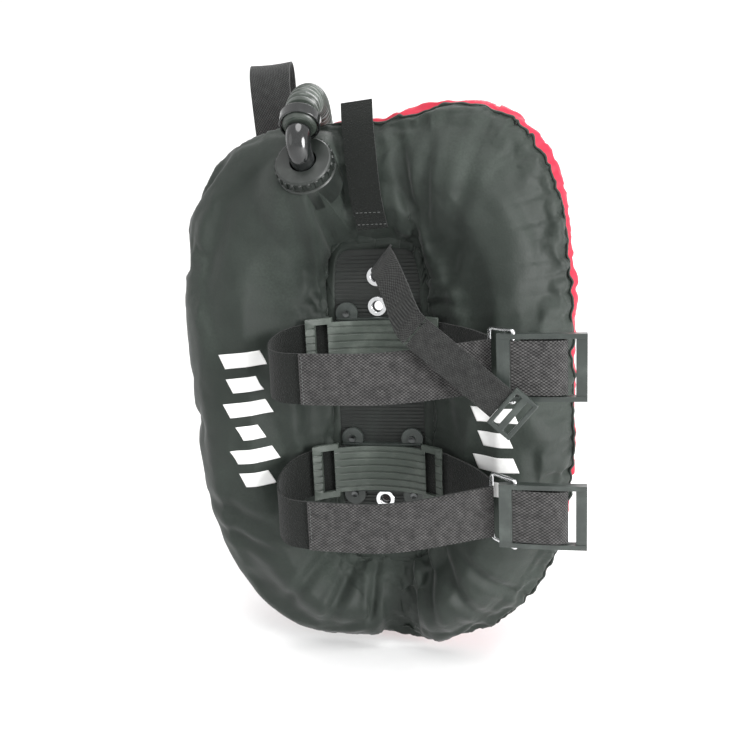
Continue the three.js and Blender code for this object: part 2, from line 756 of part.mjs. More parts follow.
// Each button's stem slides in a blind bore and stops its button just short of the body.
const inflateStem = { radius: 3, travel: 3, seated: 5 };
const deflateStem = { radius: 4, travel: 4, seated: 5 };
const inflateMouth = vec(inflator.x, inflator.y + 24, inflateHeight);
const deflateMouth = vec(inflator.x, inflator.y, inflator.z - inflatorLength);
const stemBore = (stem, mouth, outward) => {
  const depth = stem.seated + stem.travel + 1;
  return rod(mouth.clone().addScaledVector(outward, -depth), mouth.clone().addScaledVector(outward, 2),
    stem.radius + clearance, 24);
};
const down = vec(0, 0, -1);
add("inflator_body", cut(
  join(inflatorBody, inflateBoss, mouthBoss),
  stemBore(inflateStem, inflateMouth, Y),
  stemBore(deflateStem, deflateMouth, down),
), blackPlastic);

const button = (place, axis, radius, height) => turned([
  [0, 0],
  [radius, 0],
  [radius, height - 1.2],
  [radius - 1.2, height],
  [0, height],
], place, axis, 24);
// A button and its stem, at rest: the button stands off by its travel and a little more.
function pressButton(name, stem, mouth, outward, radius, height, material) {
  const standOff = stem.travel + 0.4;
  const face = mouth.clone().addScaledVector(outward, standOff);
  const stemEnd = mouth.clone().addScaledVector(outward, -stem.seated);
  add(name, button(face, outward, radius, height), material);
  add(`${name}_stem`, button(stemEnd, outward, stem.radius, stem.seated + standOff - clearance), steel);
}
pressButton("inflate_button", inflateStem, inflateMouth, Y, 8.5, 5, finish(0xb01c1c, 0.4));
pressButton("deflate_button", deflateStem, deflateMouth, down, 10, 6, blackPlastic);
add("mouthpiece", turned([
  [0, 0],
  [10.5, 0],
  [10.5, 4],
  [8, 6],
  [8, 16],
  [12, 19],
  [12, 22],
  [0, 22],
], vec(inflator.x + 26 + clearance, inflator.y, mouthHeight), X, 24), hoseRubber);
add("gas_nipple", turned([
  [0, 0],
  [6, 0],
  [6, 6],
  [4, 8],
  [4, 16],
  [5.5, 18],
  [5.5, 21],
  [0, 21],
], vec(inflator.x - 17 - clearance, inflator.y, inflateHeight), vec(-1, 0, 0), 20), steel);

// A clamp band round each end of the hose.
function hoseClamp(name, at) {
  const place = hoseCurve.getPointAt(at);
  const axis = hoseCurve.getTangentAt(at);
  const clamp = turned([
    [clampBore, -clampLength / 2],
    [clampRadius, -clampLength / 2],
    [clampRadius, clampLength / 2],
    [clampBore, clampLength / 2],
  ], place, axis, 32);
  add(name, clamp, blackPlastic);
}
hoseClamp("hose_clamp_port", 0.022);
hoseClamp("hose_clamp_inflator", 0.975);

// ---- Backplate -------------------------------------------------------------------------------

const plateFront = panelThickness + plateGap;
const flankOut = new THREE.Vector2(plateHalfWidth - flankStart, flankEndDepth - flankDepth).normalize();
// The diver-side face of a flank at a distance from the middle.
const flankFace = (x) => flankDepth + ((Math.abs(x) - flankStart) * flankOut.y) / flankOut.x + plateThickness / flankOut.x;
const plateLine = [
  vec(-plateHalfWidth, flankEndDepth + plateThickness / 2, 0),
  vec(-flankStart, flankDepth + plateThickness / 2, 0),
  vec(-spineHalfWidth, plateFront + plateThickness / 2, 0),
  vec(spineHalfWidth, plateFront + plateThickness / 2, 0),
  vec(flankStart, flankDepth + plateThickness / 2, 0),
  vec(plateHalfWidth, flankEndDepth + plateThickness / 2, 0),
];
const bentSheet = sweep(plateLine, flat(2 * plateHalfHeight, plateThickness), Z);
const plateCorner = 34;
const plateShape = new THREE.Shape();
const w = plateHalfWidth - 1;
const h = plateHalfHeight - 0.5;
plateShape.moveTo(-w + plateCorner, -h);
plateShape.lineTo(w - plateCorner, -h);
plateShape.quadraticCurveTo(w, -h, w, -h + plateCorner);
plateShape.lineTo(w, h - 70);
plateShape.quadraticCurveTo(w, h, w - 50, h);
plateShape.lineTo(-w + 50, h);
plateShape.quadraticCurveTo(-w, h, -w, h - 70);
plateShape.lineTo(-w, -h + plateCorner);
plateShape.quadraticCurveTo(-w, -h, -w + plateCorner, -h);
const plateHoles = [
  ...grommetHeights.map((height) => rod(vec(0, -20, height), vec(0, 80, height), 5, 16)),
  ...[-1, 1].flatMap((side) => [strapTopHeight - 26, strapFootHeight + 26].map((height) =>
    box(side * strapAcross - 27, side * strapAcross + 27, 0, 80, height - 3, height + 3))),
  box(-26, 26, 0, 80, -h + 12, -h + 18),
];
add("backplate", cut(common(bentSheet, upright(plateShape, 0, 80, 6)), ...plateHoles), finish(0x3c4042, 0.45, 0.6));

// ---- Harness on the diver's side -------------------------------------------------------------

const strapLift = clearance + 0.2 + webbingThickness / 2;
const onFlank = (side, height) => vec(side * strapAcross, flankFace(strapAcross) + strapLift, height);

// A shoulder strap rises off the plate, goes over the shoulder and comes back to the plate's foot.
// Its last few places are [height above its foot, distance off the plate].
const strapLanding = [[50, 13], [38, 5.5], [24, 1.6], [12, 0.3], [0, 0]];
const strapLean = (side) => vec(side * flankOut.x, flankOut.y, 0);
function shoulderStrap(name, side, between) {
  const points = [
    onFlank(side, strapTopHeight),
    onFlank(side, plateHalfHeight - 25),
    ...between.map(([x, y, z]) => vec(side * x, y, z)),
    ...strapLanding.map(([above, off]) => onFlank(side, strapFootHeight + above).addScaledVector(Y, off)),
  ];
  const line = smooth(points, 50);
  add(name, sweep(line, flat(webbingWidth, webbingThickness), strapLean(side)), webbing);
  return line;
}
const leftLine = shoulderStrap("shoulder_strap_left", -1, [
  [106, 50, 215],
  [119, 57, 275],
  [126, 66, 325],
  [133, 84, 364],
  [139, 112, 380],
  [144, 140, 366],
  [147, 156, 325],
  [146, 164, 265],
  [141, 166, 200],
  [133, 159, 125],
  [128, 143, 50],
  [124, 117, -12],
  [118, 88, -46],
]);
const rightLine = shoulderStrap("shoulder_strap_right", 1, [
  [99, 50, 200],
  [102, 62, 240],
  [106, 84, 266],
  [110, 112, 274],
  [114, 138, 260],
  [116, 153, 222],
  [116, 160, 170],
  [113, 158, 110],
  [108, 141, 45],
  [104, 112, -12],
]);

// A D-ring hangs in a flat slide on each shoulder strap. The slide's frame has +X across the strap,
// +Y out from it and +Z up along it.
const dRingAlong = 0.56; // how far down the strap it sits, as a share of the strap's length
const slideHalfWidth = 30;
const slideHalfHeight = 14;
const slideThickness = 3;
function dRing(name, side, line) {
  const i = Math.round(dRingAlong * (line.length - 1));
  const up = line[i - 1].clone().sub(line[i + 1]).normalize();
  const lean = strapLean(side).multiplyScalar(side);
  const across = lean.addScaledVector(up, -lean.dot(up)).normalize();
  const out = up.clone().cross(across);
  const frame = new THREE.Group();
  frame.quaternion.setFromRotationMatrix(new THREE.Matrix4().makeBasis(across, out, up));
  frame.position.copy(line[i]);
  group.add(frame);
  const face = webbingThickness / 2 + clearance + 0.3;
  const slideSlot = box(-webbingWidth / 2 - 1, webbingWidth / 2 + 1, face - 1, face + slideThickness + 1, 4, 8);
  const slide = cut(
    box(-slideHalfWidth, slideHalfWidth, face, face + slideThickness, -slideHalfHeight, slideHalfHeight),
    slideSlot,
  );
  add(`d_ring_slide_${name}`, slide, buckleNylon, frame);
  const plane = face + slideThickness + clearance + dRingWire;
  const barEnd = dRingHalfWidth - dRingCorner;
  const corner = (side) => vec(side * (barEnd + 0.707 * dRingCorner), plane, -0.293 * dRingCorner);
  const bow = [];
  for (let k = 0; k <= 14; k += 1) {
    const angle = (Math.PI * k) / 14;
    const drop = dRingCorner + (dRingDrop - dRingCorner) * Math.sin(angle);
    bow.push(vec(dRingHalfWidth * Math.cos(angle), plane, -drop));
  }
  const bar = [-1, -0.33, 0.33, 1].map((share) => vec(share * barEnd, plane, 0));
  const ring = [...bar, corner(1), ...bow, corner(-1)];
  add(`d_ring_${name}`, sweep(ring, round(dRingWire, 8), Y, true), steel, frame);
}
dRing("left", -1, leftLine);
dRing("right", 1, rightLine);

// The waist belt runs from each flank round to a plate buckle in front of the waist.
const beltPlan = (side, end) => smooth([
  vec(side * (strapAcross - 10), flankFace(strapAcross - 10) + strapLift + 0.6, beltHeight),
  vec(side * 122, flankFace(122) + strapLift + 0.6, beltHeight),
  vec(side * 148, 60, beltHeight),
  vec(side * 163, 88, beltHeight),
  vec(side * 152, 122, beltHeight),
  vec(side * 116, 146, beltHeight),
  vec(side * 70, 157, beltHeight),
  vec(side * end, 160, beltHeight),
], 26);
const beltSection = flat(webbingWidth, webbingThickness);
add("waist_belt_left", sweep(beltPlan(-1, 6), beltSection, Z), webbing);
add("waist_belt_right", sweep(beltPlan(1, 14), beltSection, Z), webbing);
const beltFace = 160 + webbingThickness / 2 + clearance;
add("waist_buckle_frame", cut(
  box(-30, 26, beltFace, beltFace + 2.5, beltHeight - 31, beltHeight + 31),
  box(-19, -14, beltFace - 1, beltFace + 4, beltHeight - 26, beltHeight + 26),
  box(8, 14, beltFace - 1, beltFace + 4, beltHeight - 26, beltHeight + 26),
), steel);
const flapFoot = beltFace + 2.5 + clearance;
add("waist_buckle_flap", join(
  box(-26, 22, flapFoot + 1.5, flapFoot + 4, beltHeight - 28, beltHeight + 28),
  rod(vec(-26, flapFoot + 2.5, beltHeight - 28), vec(-26, flapFoot + 2.5, beltHeight + 28), 2.5, 16),
), steel);

// ---- Dump valve on the diver's side ----------------------------------------------------------

const backEnvelope = wingEnvelope(1, lobeBack);
const dumpBlank = turned([
  [0, -30],
  [dumpRadius, -30],
  [dumpRadius, 5],
  [dumpRadius - 2, 7],
  [9, 7],
  [9, 3],
  [0, 3],
], dumpPlace, Y, 32);
add("dump_valve_base", cut(dumpBlank, backEnvelope), blackPlastic);
add("dump_valve_plunger", turned([
  [0, 3 + clearance],
  [8, 3 + clearance],
  [8, 9],
  [6.5, 10.5],
  [0, 10.5],
], dumpPlace, Y, 24), finish(0x8a1a22, 0.5));

export default group;
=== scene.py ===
# %% [markdown]
# # A diving wing on a backplate harness
# A diving wing is an air-filled ring of strong cloth. The cylinder is strapped to one side of it and
# the diver wears the other side. The engineering model already fixes every size and every moving
# body, so this file only gives that model its looks: sewn cloth, woven webbing, moulded plastic,
# polished wire and a corrugated hose. Everything is in metres, +Z is up the diver's back and -Y
# points out at the cylinder.

import json
import math

import bmesh
import bpy
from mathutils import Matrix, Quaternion, Vector, noise
from mathutils.bvhtree import BVHTree
from mathutils.kdtree import KDTree

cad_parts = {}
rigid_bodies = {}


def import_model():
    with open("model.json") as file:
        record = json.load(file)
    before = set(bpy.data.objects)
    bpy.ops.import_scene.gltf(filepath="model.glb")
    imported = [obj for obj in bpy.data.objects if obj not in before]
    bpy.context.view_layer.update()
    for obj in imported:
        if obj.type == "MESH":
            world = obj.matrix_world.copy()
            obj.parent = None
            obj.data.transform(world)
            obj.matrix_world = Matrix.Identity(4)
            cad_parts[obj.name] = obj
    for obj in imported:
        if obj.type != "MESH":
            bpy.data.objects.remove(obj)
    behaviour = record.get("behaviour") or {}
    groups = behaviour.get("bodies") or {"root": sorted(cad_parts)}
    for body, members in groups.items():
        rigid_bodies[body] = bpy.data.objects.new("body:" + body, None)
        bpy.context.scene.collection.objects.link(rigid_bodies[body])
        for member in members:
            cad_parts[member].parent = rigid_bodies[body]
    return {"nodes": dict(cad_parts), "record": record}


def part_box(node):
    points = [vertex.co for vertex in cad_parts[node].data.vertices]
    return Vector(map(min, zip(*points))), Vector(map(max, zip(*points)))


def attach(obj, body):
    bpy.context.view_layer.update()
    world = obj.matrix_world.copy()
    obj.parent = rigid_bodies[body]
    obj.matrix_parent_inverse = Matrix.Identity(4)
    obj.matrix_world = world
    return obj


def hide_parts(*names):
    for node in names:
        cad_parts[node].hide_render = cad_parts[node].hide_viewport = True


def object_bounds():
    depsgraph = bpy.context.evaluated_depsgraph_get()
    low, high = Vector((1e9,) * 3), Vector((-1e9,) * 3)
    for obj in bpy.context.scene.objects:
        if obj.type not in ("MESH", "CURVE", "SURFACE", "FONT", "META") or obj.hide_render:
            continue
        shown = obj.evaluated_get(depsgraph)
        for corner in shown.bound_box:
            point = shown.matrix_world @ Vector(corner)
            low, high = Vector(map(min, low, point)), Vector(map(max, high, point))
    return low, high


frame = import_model()
cad_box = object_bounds()
BODY_OF = {node: body for body, nodes in frame["record"]["behaviour"]["bodies"].items() for node in nodes}

# %% [markdown]
# ## The camera
# The wing is looked at from a little above and from the buckle side, with the camera leaning a few
# degrees, as a hand-held camera does. The place is worked out from two angles and a distance, so
# that each can be changed by itself.

# %% Camera
CAMERA_DISTANCE = 0.940
CAMERA_AZIMUTH = math.radians(13.0)
CAMERA_ELEVATION = math.radians(11.0)
CAMERA_LEAN = math.radians(-2.5)
AIM = Vector((-0.006, 0.0, 0.033))

towards_camera = Vector((
    math.sin(CAMERA_AZIMUTH) * math.cos(CAMERA_ELEVATION),
    -math.cos(CAMERA_AZIMUTH) * math.cos(CAMERA_ELEVATION),
    math.sin(CAMERA_ELEVATION),
))
camera_data = bpy.data.cameras.new("camera")
camera_data.lens = 41.6
camera_data.sensor_width = 36.0
camera = bpy.data.objects.new("camera", camera_data)
bpy.context.scene.collection.objects.link(camera)
camera.location = AIM + towards_camera * CAMERA_DISTANCE
camera.rotation_mode = "QUATERNION"
camera.rotation_quaternion = (-towards_camera).to_track_quat("-Z", "Y") @ Quaternion((0, 0, 1), CAMERA_LEAN)
bpy.context.scene.camera = camera
print("camera at", [round(v, 3) for v in camera.location])

# %% [markdown]
# ## Studio
# A plain pale floor that curves up into a wall has no horizon line. Soft lights above, on the left
# and behind give long gentle highlights on black cloth, which is hard to light: it needs large
# lamps, because a small one makes only a hot spot.

# %% Floor and wall
FLOOR_GAP = 0.012
FLOOR_HALF_WIDTH = 6.0
WALL_START = 1.2
WALL_CURVE = 0.8
WALL_HEIGHT = 4.0
WALL_STEPS = 12


def link_mesh(name, bm):
    mesh = bpy.data.meshes.new(name)
    bm.to_mesh(mesh)
    bm.free()
    piece = bpy.data.objects.new(name, mesh)
    bpy.context.scene.collection.objects.link(piece)
    return piece


bm = bmesh.new()
floor_height = cad_box[0][2] - FLOOR_GAP
profile = [Vector((-FLOOR_HALF_WIDTH, depth, floor_height)) for depth in (-FLOOR_HALF_WIDTH, WALL_START)]
for step in range(1, WALL_STEPS + 1):
    angle = math.pi / 2 * step / WALL_STEPS
    profile.append(Vector((
        -FLOOR_HALF_WIDTH,
        WALL_START + WALL_CURVE * math.sin(angle),
        floor_height + WALL_CURVE * (1 - math.cos(angle)),
    )))
profile.append(Vector((-FLOOR_HALF_WIDTH, WALL_START + WALL_CURVE, WALL_HEIGHT)))
corners = [bm.verts.new(point) for point in profile]
edges = [bm.edges.new(pair) for pair in zip(corners, corners[1:])]
swept = bmesh.ops.extrude_edge_only(bm, edges=edges)
moved = [item for item in swept["geom"] if isinstance(item, bmesh.types.BMVert)]
bmesh.ops.translate(bm, verts=moved, vec=(2 * FLOOR_HALF_WIDTH, 0, 0))
floor = link_mesh("studio_floor", bm)
floor.data.shade_smooth()
print("floor at", round(floor_height, 4))

# %% [markdown]
# ## A short way to write nodes
# Shader trees are easiest to read when each node is one call. `put` adds a node, sets its options,
# and then either plugs a socket in or types a value.

# %% Node helper


def put(tree, kind, options=None, sockets=None):
    node = tree.nodes.new("ShaderNode" + kind)
    for name, value in (options or {}).items():
        setattr(node, name, value)
    for key, value in (sockets or {}).items():
        if isinstance(value, bpy.types.NodeSocket):
            tree.links.new(value, node.inputs[key])
        else:
            node.inputs[key].default_value = value
    return node


def math_node(tree, operation, first, second=0.0):
    return put(tree, "Math", {"operation": operation}, {0: first, 1: second}).outputs[0]


def new_group(name, inputs, outputs):
    tree = bpy.data.node_groups.new(name, "ShaderNodeTree")
    for label, kind, default in inputs:
        socket = tree.interface.new_socket(label, in_out="INPUT", socket_type=kind)
        socket.default_value = default
    for label, kind in outputs:
        tree.interface.new_socket(label, in_out="OUTPUT", socket_type=kind)
    entry = tree.nodes.new("NodeGroupInput")
    leave = tree.nodes.new("NodeGroupOutput")
    return tree, entry, leave


print("node helpers ready")

# %% [markdown]
# ## Shared surface effects
# Three effects turn up again and again on this object. Cloth and webbing are woven, so one group
# makes a grid of crossing threads whose two thread pitches can be set. Handled things pick up pale
# dust and rubbed patches, so a second group makes a soft patchy mask. Moulded plastic has a fine
# pebbled grain, so the third makes that.

# %% Weave group
weave, entry, leave = new_group(
    "woven_threads",
    [("Warp Scale", "NodeSocketFloat", 900.0), ("Weft Scale", "NodeSocketFloat", 900.0),
     ("Turn", "NodeSocketFloat", 0.0), ("Unevenness", "NodeSocketFloat", 0.3)],
    [("Height", "NodeSocketFloat"), ("Painted Light", "NodeSocketFloat")],
)
place = put(weave, "TexCoord").outputs["Object"]
turned = put(weave, "VectorRotate", {"rotation_type": "Y_AXIS"}, {
    "Vector": place, "Angle": entry.outputs["Turn"],
})
wobble = put(weave, "TexNoise", None, {"Vector": place, "Scale": 160.0, "Detail": 2.0})
axes = put(weave, "SeparateXYZ", None, {0: turned.outputs[0]})
along = math_node(weave, "ADD", axes.outputs["X"], axes.outputs["Y"])
drift = math_node(weave, "MULTIPLY", wobble.outputs[0], entry.outputs["Unevenness"])
warp = math_node(weave, "MULTIPLY", along, entry.outputs["Warp Scale"])
weft = math_node(weave, "MULTIPLY", axes.outputs["Z"], entry.outputs["Weft Scale"])
warp_wave = math_node(weave, "SINE", math_node(weave, "ADD", warp, drift))
weft_wave = math_node(weave, "SINE", math_node(weave, "ADD", weft, drift))
crossing = math_node(weave, "MULTIPLY", warp_wave, weft_wave)
height = math_node(weave, "MULTIPLY_ADD", crossing, 0.5)
height.node.inputs[2].default_value = 0.5
weave.links.new(height, leave.inputs["Height"])
# Painted light mask: thread height times noise, lighter on the thread tops as painted highlight and dark
# between them as painted shade; only webbing colours with it
painted_thread_light = math_node(weave, "MULTIPLY", height, wobble.outputs[0])
weave.links.new(painted_thread_light, leave.inputs["Painted Light"])
print("group", weave.name, "has", len(weave.nodes), "nodes")

# %% Rubbed patches group
patches, entry, leave = new_group(
    "rubbed_patches",
    [("Scale", "NodeSocketFloat", 12.0), ("Low", "NodeSocketFloat", 0.4), ("High", "NodeSocketFloat", 0.75)],
    [("Mask", "NodeSocketFloat")],
)
place = put(patches, "TexCoord").outputs["Object"]
broad = put(patches, "TexNoise", None, {
    "Vector": place, "Scale": entry.outputs["Scale"], "Detail": 6.0, "Roughness": 0.62,
})
spread = put(patches, "MapRange", {"interpolation_type": "SMOOTHSTEP"}, {
    "Value": broad.outputs[0], "From Min": entry.outputs["Low"], "From Max": entry.outputs["High"],
})
patches.links.new(spread.outputs[0], leave.inputs["Mask"])
print("group", patches.name, "has", len(patches.nodes), "nodes")

# %% Moulded grain group
grain, entry, leave = new_group(
    "moulded_grain",
    [("Scale", "NodeSocketFloat", 700.0)],
    [("Height", "NodeSocketFloat")],
)
place = put(grain, "TexCoord").outputs["Object"]
pebble = put(grain, "TexVoronoi", None, {"Vector": place, "Scale": entry.outputs["Scale"]})
haze = put(grain, "TexNoise", None, {"Vector": place, "Scale": 90.0, "Detail": 3.0})
mixed = math_node(grain, "ADD", math_node(grain, "MULTIPLY", pebble.outputs[0], 0.6), haze.outputs[0])
grain.links.new(mixed, leave.inputs["Height"])
print("group", grain.name, "has", len(grain.nodes), "nodes")

# %% [markdown]
# ## Materials
# Every finish starts from the same bare Principled shader. Constants go straight onto its sockets
# and only what changes over the surface is plugged in.

# %% Material helpers


def bare(name, roughness, metallic=0.0, **settings):
    finish = bpy.data.materials.new(name)
    finish.use_nodes = True
    tree = finish.node_tree
    shader = tree.nodes["Principled BSDF"]
    shader.inputs["Roughness"].default_value = roughness
    shader.inputs["Metallic"].default_value = metallic
    for key, value in settings.items():
        shader.inputs[key.replace("_", " ")].default_value = value
    return finish, tree, shader


def group_node(tree, group, **values):
    node = tree.nodes.new("ShaderNodeGroup")
    node.node_tree = group
    for key, value in values.items():
        node.inputs[key.replace("_", " ")].default_value = value
    return node


def colour_between(tree, shader, factor, dark, light):
    mix = put(tree, "Mix", {"data_type": "RGBA"})
    tree.links.new(factor, mix.inputs["Factor"])
    mix.inputs["A"].default_value = (*dark, 1)
    mix.inputs["B"].default_value = (*light, 1)
    tree.links.new(mix.outputs["Result"], shader.inputs["Base Color"])
    return mix


def bump(tree, shader, height, distance, strength=1.0):
    node = put(tree, "Bump", None, {"Height": height, "Distance": distance, "Strength": strength})
    tree.links.new(node.outputs[0], shader.inputs["Normal"])
    return node


def roughness_between(tree, shader, factor, low, high):
    spread = put(tree, "MapRange", None, {"Value": factor, "To Min": low, "To Max": high})
    tree.links.new(spread.outputs[0], shader.inputs["Roughness"])


print("material helpers ready")

# %% [markdown]
# ### Cloth
# The shell is coated pack cloth: a tight plain weave, nearly black with a green cast, that shows
# pale dusty scuffs where it bulges. The diver's side is the same cloth dyed crimson.

# %% Pack cloth


def pack_cloth(name, dark, light, sheen):
    finish, tree, shader = bare(name, 0.62, Sheen_Weight=sheen, Sheen_Roughness=0.45, Specular_IOR_Level=0.35)
    threads = group_node(tree, weave, Warp_Scale=5200.0, Weft_Scale=5200.0, Turn=0.03, Unevenness=5.0)
    scuffs = group_node(tree, patches, Scale=9.0, Low=0.35, High=0.8)
    place = put(tree, "TexCoord").outputs["Object"]
    fine = put(tree, "TexNoise", None, {"Vector": place, "Scale": 420.0, "Detail": 4.0})
    amount = math_node(tree, "MULTIPLY", scuffs.outputs["Mask"], fine.outputs[0])
    colour_between(tree, shader, amount, dark, light)
    roughness_between(tree, shader, scuffs.outputs["Mask"], 0.55, 0.78)
    fine_weave = math_node(tree, "MULTIPLY", threads.outputs["Height"], 0.25)
    crinkle = math_node(tree, "ADD", fine_weave, fine.outputs[0])
    bump(tree, shader, crinkle, 0.00025, 0.7)
    return finish


BLACK_CLOTH = pack_cloth("black_pack_cloth", (0.010, 0.0150, 0.0115), (0.045, 0.057, 0.048), 0.12)
RED_CLOTH = pack_cloth("crimson_pack_cloth", (0.42, 0.008, 0.030), (0.62, 0.030, 0.070), 0.10)
print("cloth:", BLACK_CLOTH.name, RED_CLOTH.name)

# %% [markdown]
# ### Webbing
# Cam bands and harness are polyester webbing. Its coarse ribs catch the light in rows of small
# dots, and this is painted into the colour: painted highlight on the thread tops, painted shade in
# the gaps. The grid of threads is turned to follow each strap, and its two pitches differ because
# the ribs across a strap are wider than the rows along it.

# %% Woven webbing


def webbing(name, turn, warp_pitch=0.0042, weft_pitch=0.0030, light=(0.142, 0.138, 0.136)):
    finish, tree, shader = bare(name, 0.75, Sheen_Weight=0.10, Sheen_Roughness=0.5, Specular_IOR_Level=0.25)
    threads = group_node(
        tree, weave, Warp_Scale=2 * math.pi / warp_pitch, Weft_Scale=2 * math.pi / weft_pitch,
        Turn=turn, Unevenness=1.6,
    )
    # Base colour follows the weave: thread tops get the light colour as painted highlight, the gaps the
    # near-black colour as painted shade
    colour_between(tree, shader, threads.outputs["Painted Light"], (0.003, 0.003, 0.003), light)
    bump(tree, shader, threads.outputs["Height"], 0.0010, 1.0)
    return finish


# Each webbing's light colour is the painted highlight on its thread tops
BAND_WEBBING = webbing("cam_band_webbing", 0.0)
STRAP_WEBBING = webbing("harness_webbing", 0.0, 0.0026, 0.0036, (0.060, 0.064, 0.062))
FALL_WEBBING = webbing("valve_strap_webbing", math.radians(-40), 0.0016, 0.0030, (0.066, 0.069, 0.065))

LOOP_TAPE, tree, shader = bare(
    "loop_tape", 0.95, Sheen_Weight=0.12, Sheen_Roughness=0.6, Specular_IOR_Level=0.10)
place = put(tree, "TexCoord").outputs["Object"]
loops = put(tree, "TexVoronoi", None, {"Vector": place, "Scale": 900.0})
fuzz = put(tree, "TexNoise", None, {"Vector": place, "Scale": 600.0, "Detail": 5.0})
tangle = math_node(tree, "MULTIPLY", loops.outputs[0], fuzz.outputs[0])
colour_between(tree, shader, tangle, (0.003, 0.004, 0.003), (0.011, 0.013, 0.012))
bump(tree, shader, tangle, 0.0012, 1.0)
print("webbing:", BAND_WEBBING.name, STRAP_WEBBING.name, FALL_WEBBING.name, LOOP_TAPE.name)

# %% [markdown]
# ### Plastic, rubber and metal
# Buckles are satin glass-filled nylon with a grey-green cast. The port and the inflator are the
# same stuff polished. Wire, grommets and the waist buckle are bright stainless steel, and the
# backplate carries a satin black coat.

# %% Hard finishes


def hard(name, dark, light, roughness, metallic=0.0, depth=0.00012, scale=700.0, **settings):
    finish, tree, shader = bare(name, roughness, metallic, **settings)
    pebbles = group_node(tree, grain, Scale=scale)
    rubbed = group_node(tree, patches, Scale=30.0, Low=0.45, High=0.8)
    colour_between(tree, shader, rubbed.outputs["Mask"], dark, light)
    roughness_between(tree, shader, rubbed.outputs["Mask"], roughness, min(roughness + 0.14, 1.0))
    bump(tree, shader, pebbles.outputs["Height"], depth, 0.6)
    return finish


BUCKLE_PLASTIC = hard("buckle_nylon", (0.026, 0.032, 0.029), (0.062, 0.074, 0.067), 0.30)
GLOSS_PLASTIC = hard(
    "gloss_black_plastic", (0.010, 0.011, 0.011), (0.030, 0.034, 0.032), 0.13, depth=0.00003, Coat_Weight=0.4,
)
RED_PLASTIC = hard("red_button_plastic", (0.42, 0.012, 0.016), (0.55, 0.040, 0.045), 0.25, depth=0.00004)
STEEL = hard("polished_steel", (0.78, 0.79, 0.80), (0.60, 0.61, 0.62), 0.14, 1.0, 0.00002, 300.0)
PLATE_COAT = hard("black_powder_coat", (0.020, 0.022, 0.023), (0.050, 0.053, 0.054), 0.42, depth=0.00006)
HOSE_RUBBER = hard("hose_rubber", (0.030, 0.037, 0.031), (0.092, 0.106, 0.094), 0.32, depth=0.00008)
PANEL_RUBBER = hard("panel_rubber", (0.007, 0.009, 0.0075), (0.020, 0.025, 0.022), 0.60, depth=0.00015)
SADDLE_RUBBER = hard("saddle_rubber", (0.056, 0.068, 0.058), (0.125, 0.145, 0.127), 0.38)
SATIN_PLASTIC = hard("satin_black_plastic", (0.014, 0.017, 0.015), (0.042, 0.048, 0.043), 0.36)
DARK_STEEL = hard("blackened_steel", (0.10, 0.105, 0.105), (0.22, 0.225, 0.22), 0.32, 1.0, 0.00003)
WHITE_PRINT = hard("white_print", (0.83, 0.83, 0.82), (0.66, 0.66, 0.65), 0.55, depth=0.00005)
PALE_FLOOR = hard("studio_paper", (0.88, 0.88, 0.88), (0.90, 0.90, 0.90), 0.8, scale=80.0)
floor.data.materials.append(PALE_FLOOR)
print("hard finishes:", len(bpy.data.materials), "materials in all")

# %% Lights
LAMPS = [
    ("top_softbox", (0.25, -0.8, 1.5), 1.2, 19.0),
    ("left_softbox", (-1.5, -0.9, 0.5), 1.0, 2.0),
    ("right_softbox", (1.5, -0.9, 0.2), 0.9, 36.0),
    ("back_softbox", (0.4, 1.3, 1.4), 1.2, 16.0),
]
for name, place, size, power in LAMPS:
    lamp_data = bpy.data.lights.new(name, "AREA")
    lamp_data.shape = "DISK"
    lamp_data.size = size
    lamp_data.energy = power
    lamp = bpy.data.objects.new(name, lamp_data)
    bpy.context.scene.collection.objects.link(lamp)
    lamp.location = place
    lamp.rotation_mode = "QUATERNION"
    lamp.rotation_quaternion = (AIM - Vector(place)).to_track_quat("-Z", "Y")
world = bpy.data.worlds.new("studio_air")
world.use_nodes = True
world.node_tree.nodes["Background"].inputs["Color"].default_value = (1, 1, 1, 1)
world.node_tree.nodes["Background"].inputs["Strength"].default_value = 0.95
bpy.context.scene.world = world
bpy.context.scene.view_settings.view_transform = "Standard"
print("lamps:", len(LAMPS))

# %% [markdown]
# ## Starting from the engineering solids
# Most hard parts keep the engineer's shape and only need what a mould or a press leaves: rounded
# edges. `borrow` copies a node as a clean merged mesh, with its flat triangles joined into larger
# faces, so that a bevel has real edges to follow.

# %% Borrowing a node
WELD = 1e-5
FLAT_ANGLE = math.radians(1.5)


def borrow(*nodes):
    bm = bmesh.new()
    for node in nodes:
        bm.from_mesh(frame["nodes"][node].data)
    bmesh.ops.remove_doubles(bm, verts=bm.verts, dist=WELD)
    return bm


def settle(name, bm, finish, body, replaced=(), smooth_angle=35.0):
    for face in bm.faces:
        face.smooth = True
        face.material_index = 0
    piece = link_mesh(name, bm)
    piece.data.materials.clear()
    piece.data.materials.append(finish)
    piece.data.set_sharp_from_angle(angle=math.radians(smooth_angle))
    if replaced:
        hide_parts(*replaced)
    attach(piece, body)
    return piece


def rounded(name, node, finish, width, segments=2, angle=30.0, smooth_angle=50.0):
    bm = borrow(node)
    bmesh.ops.dissolve_limit(bm, angle_limit=FLAT_ANGLE, verts=bm.verts, edges=bm.edges)
    piece = settle(name, bm, finish, BODY_OF[node], (node,), smooth_angle)
    bevel = piece.modifiers.new("rounded_edges", "BEVEL")
    bevel.width = width
    bevel.segments = segments
    bevel.limit_method = "ANGLE"
    bevel.angle_limit = math.radians(angle)
    bevel.use_clamp_overlap = True
    bevel.harden_normals = False
    return piece


print("borrowing helpers ready")

# %% [markdown]
# ## The corrugated hose
# An inflation hose is moulded as a stack of rings so that it bends without kinking. It leaves the
# elbow, arches over the wing and hangs to the inflator. A circle is extruded ring by ring along
# that route, and every other ring is drawn in.

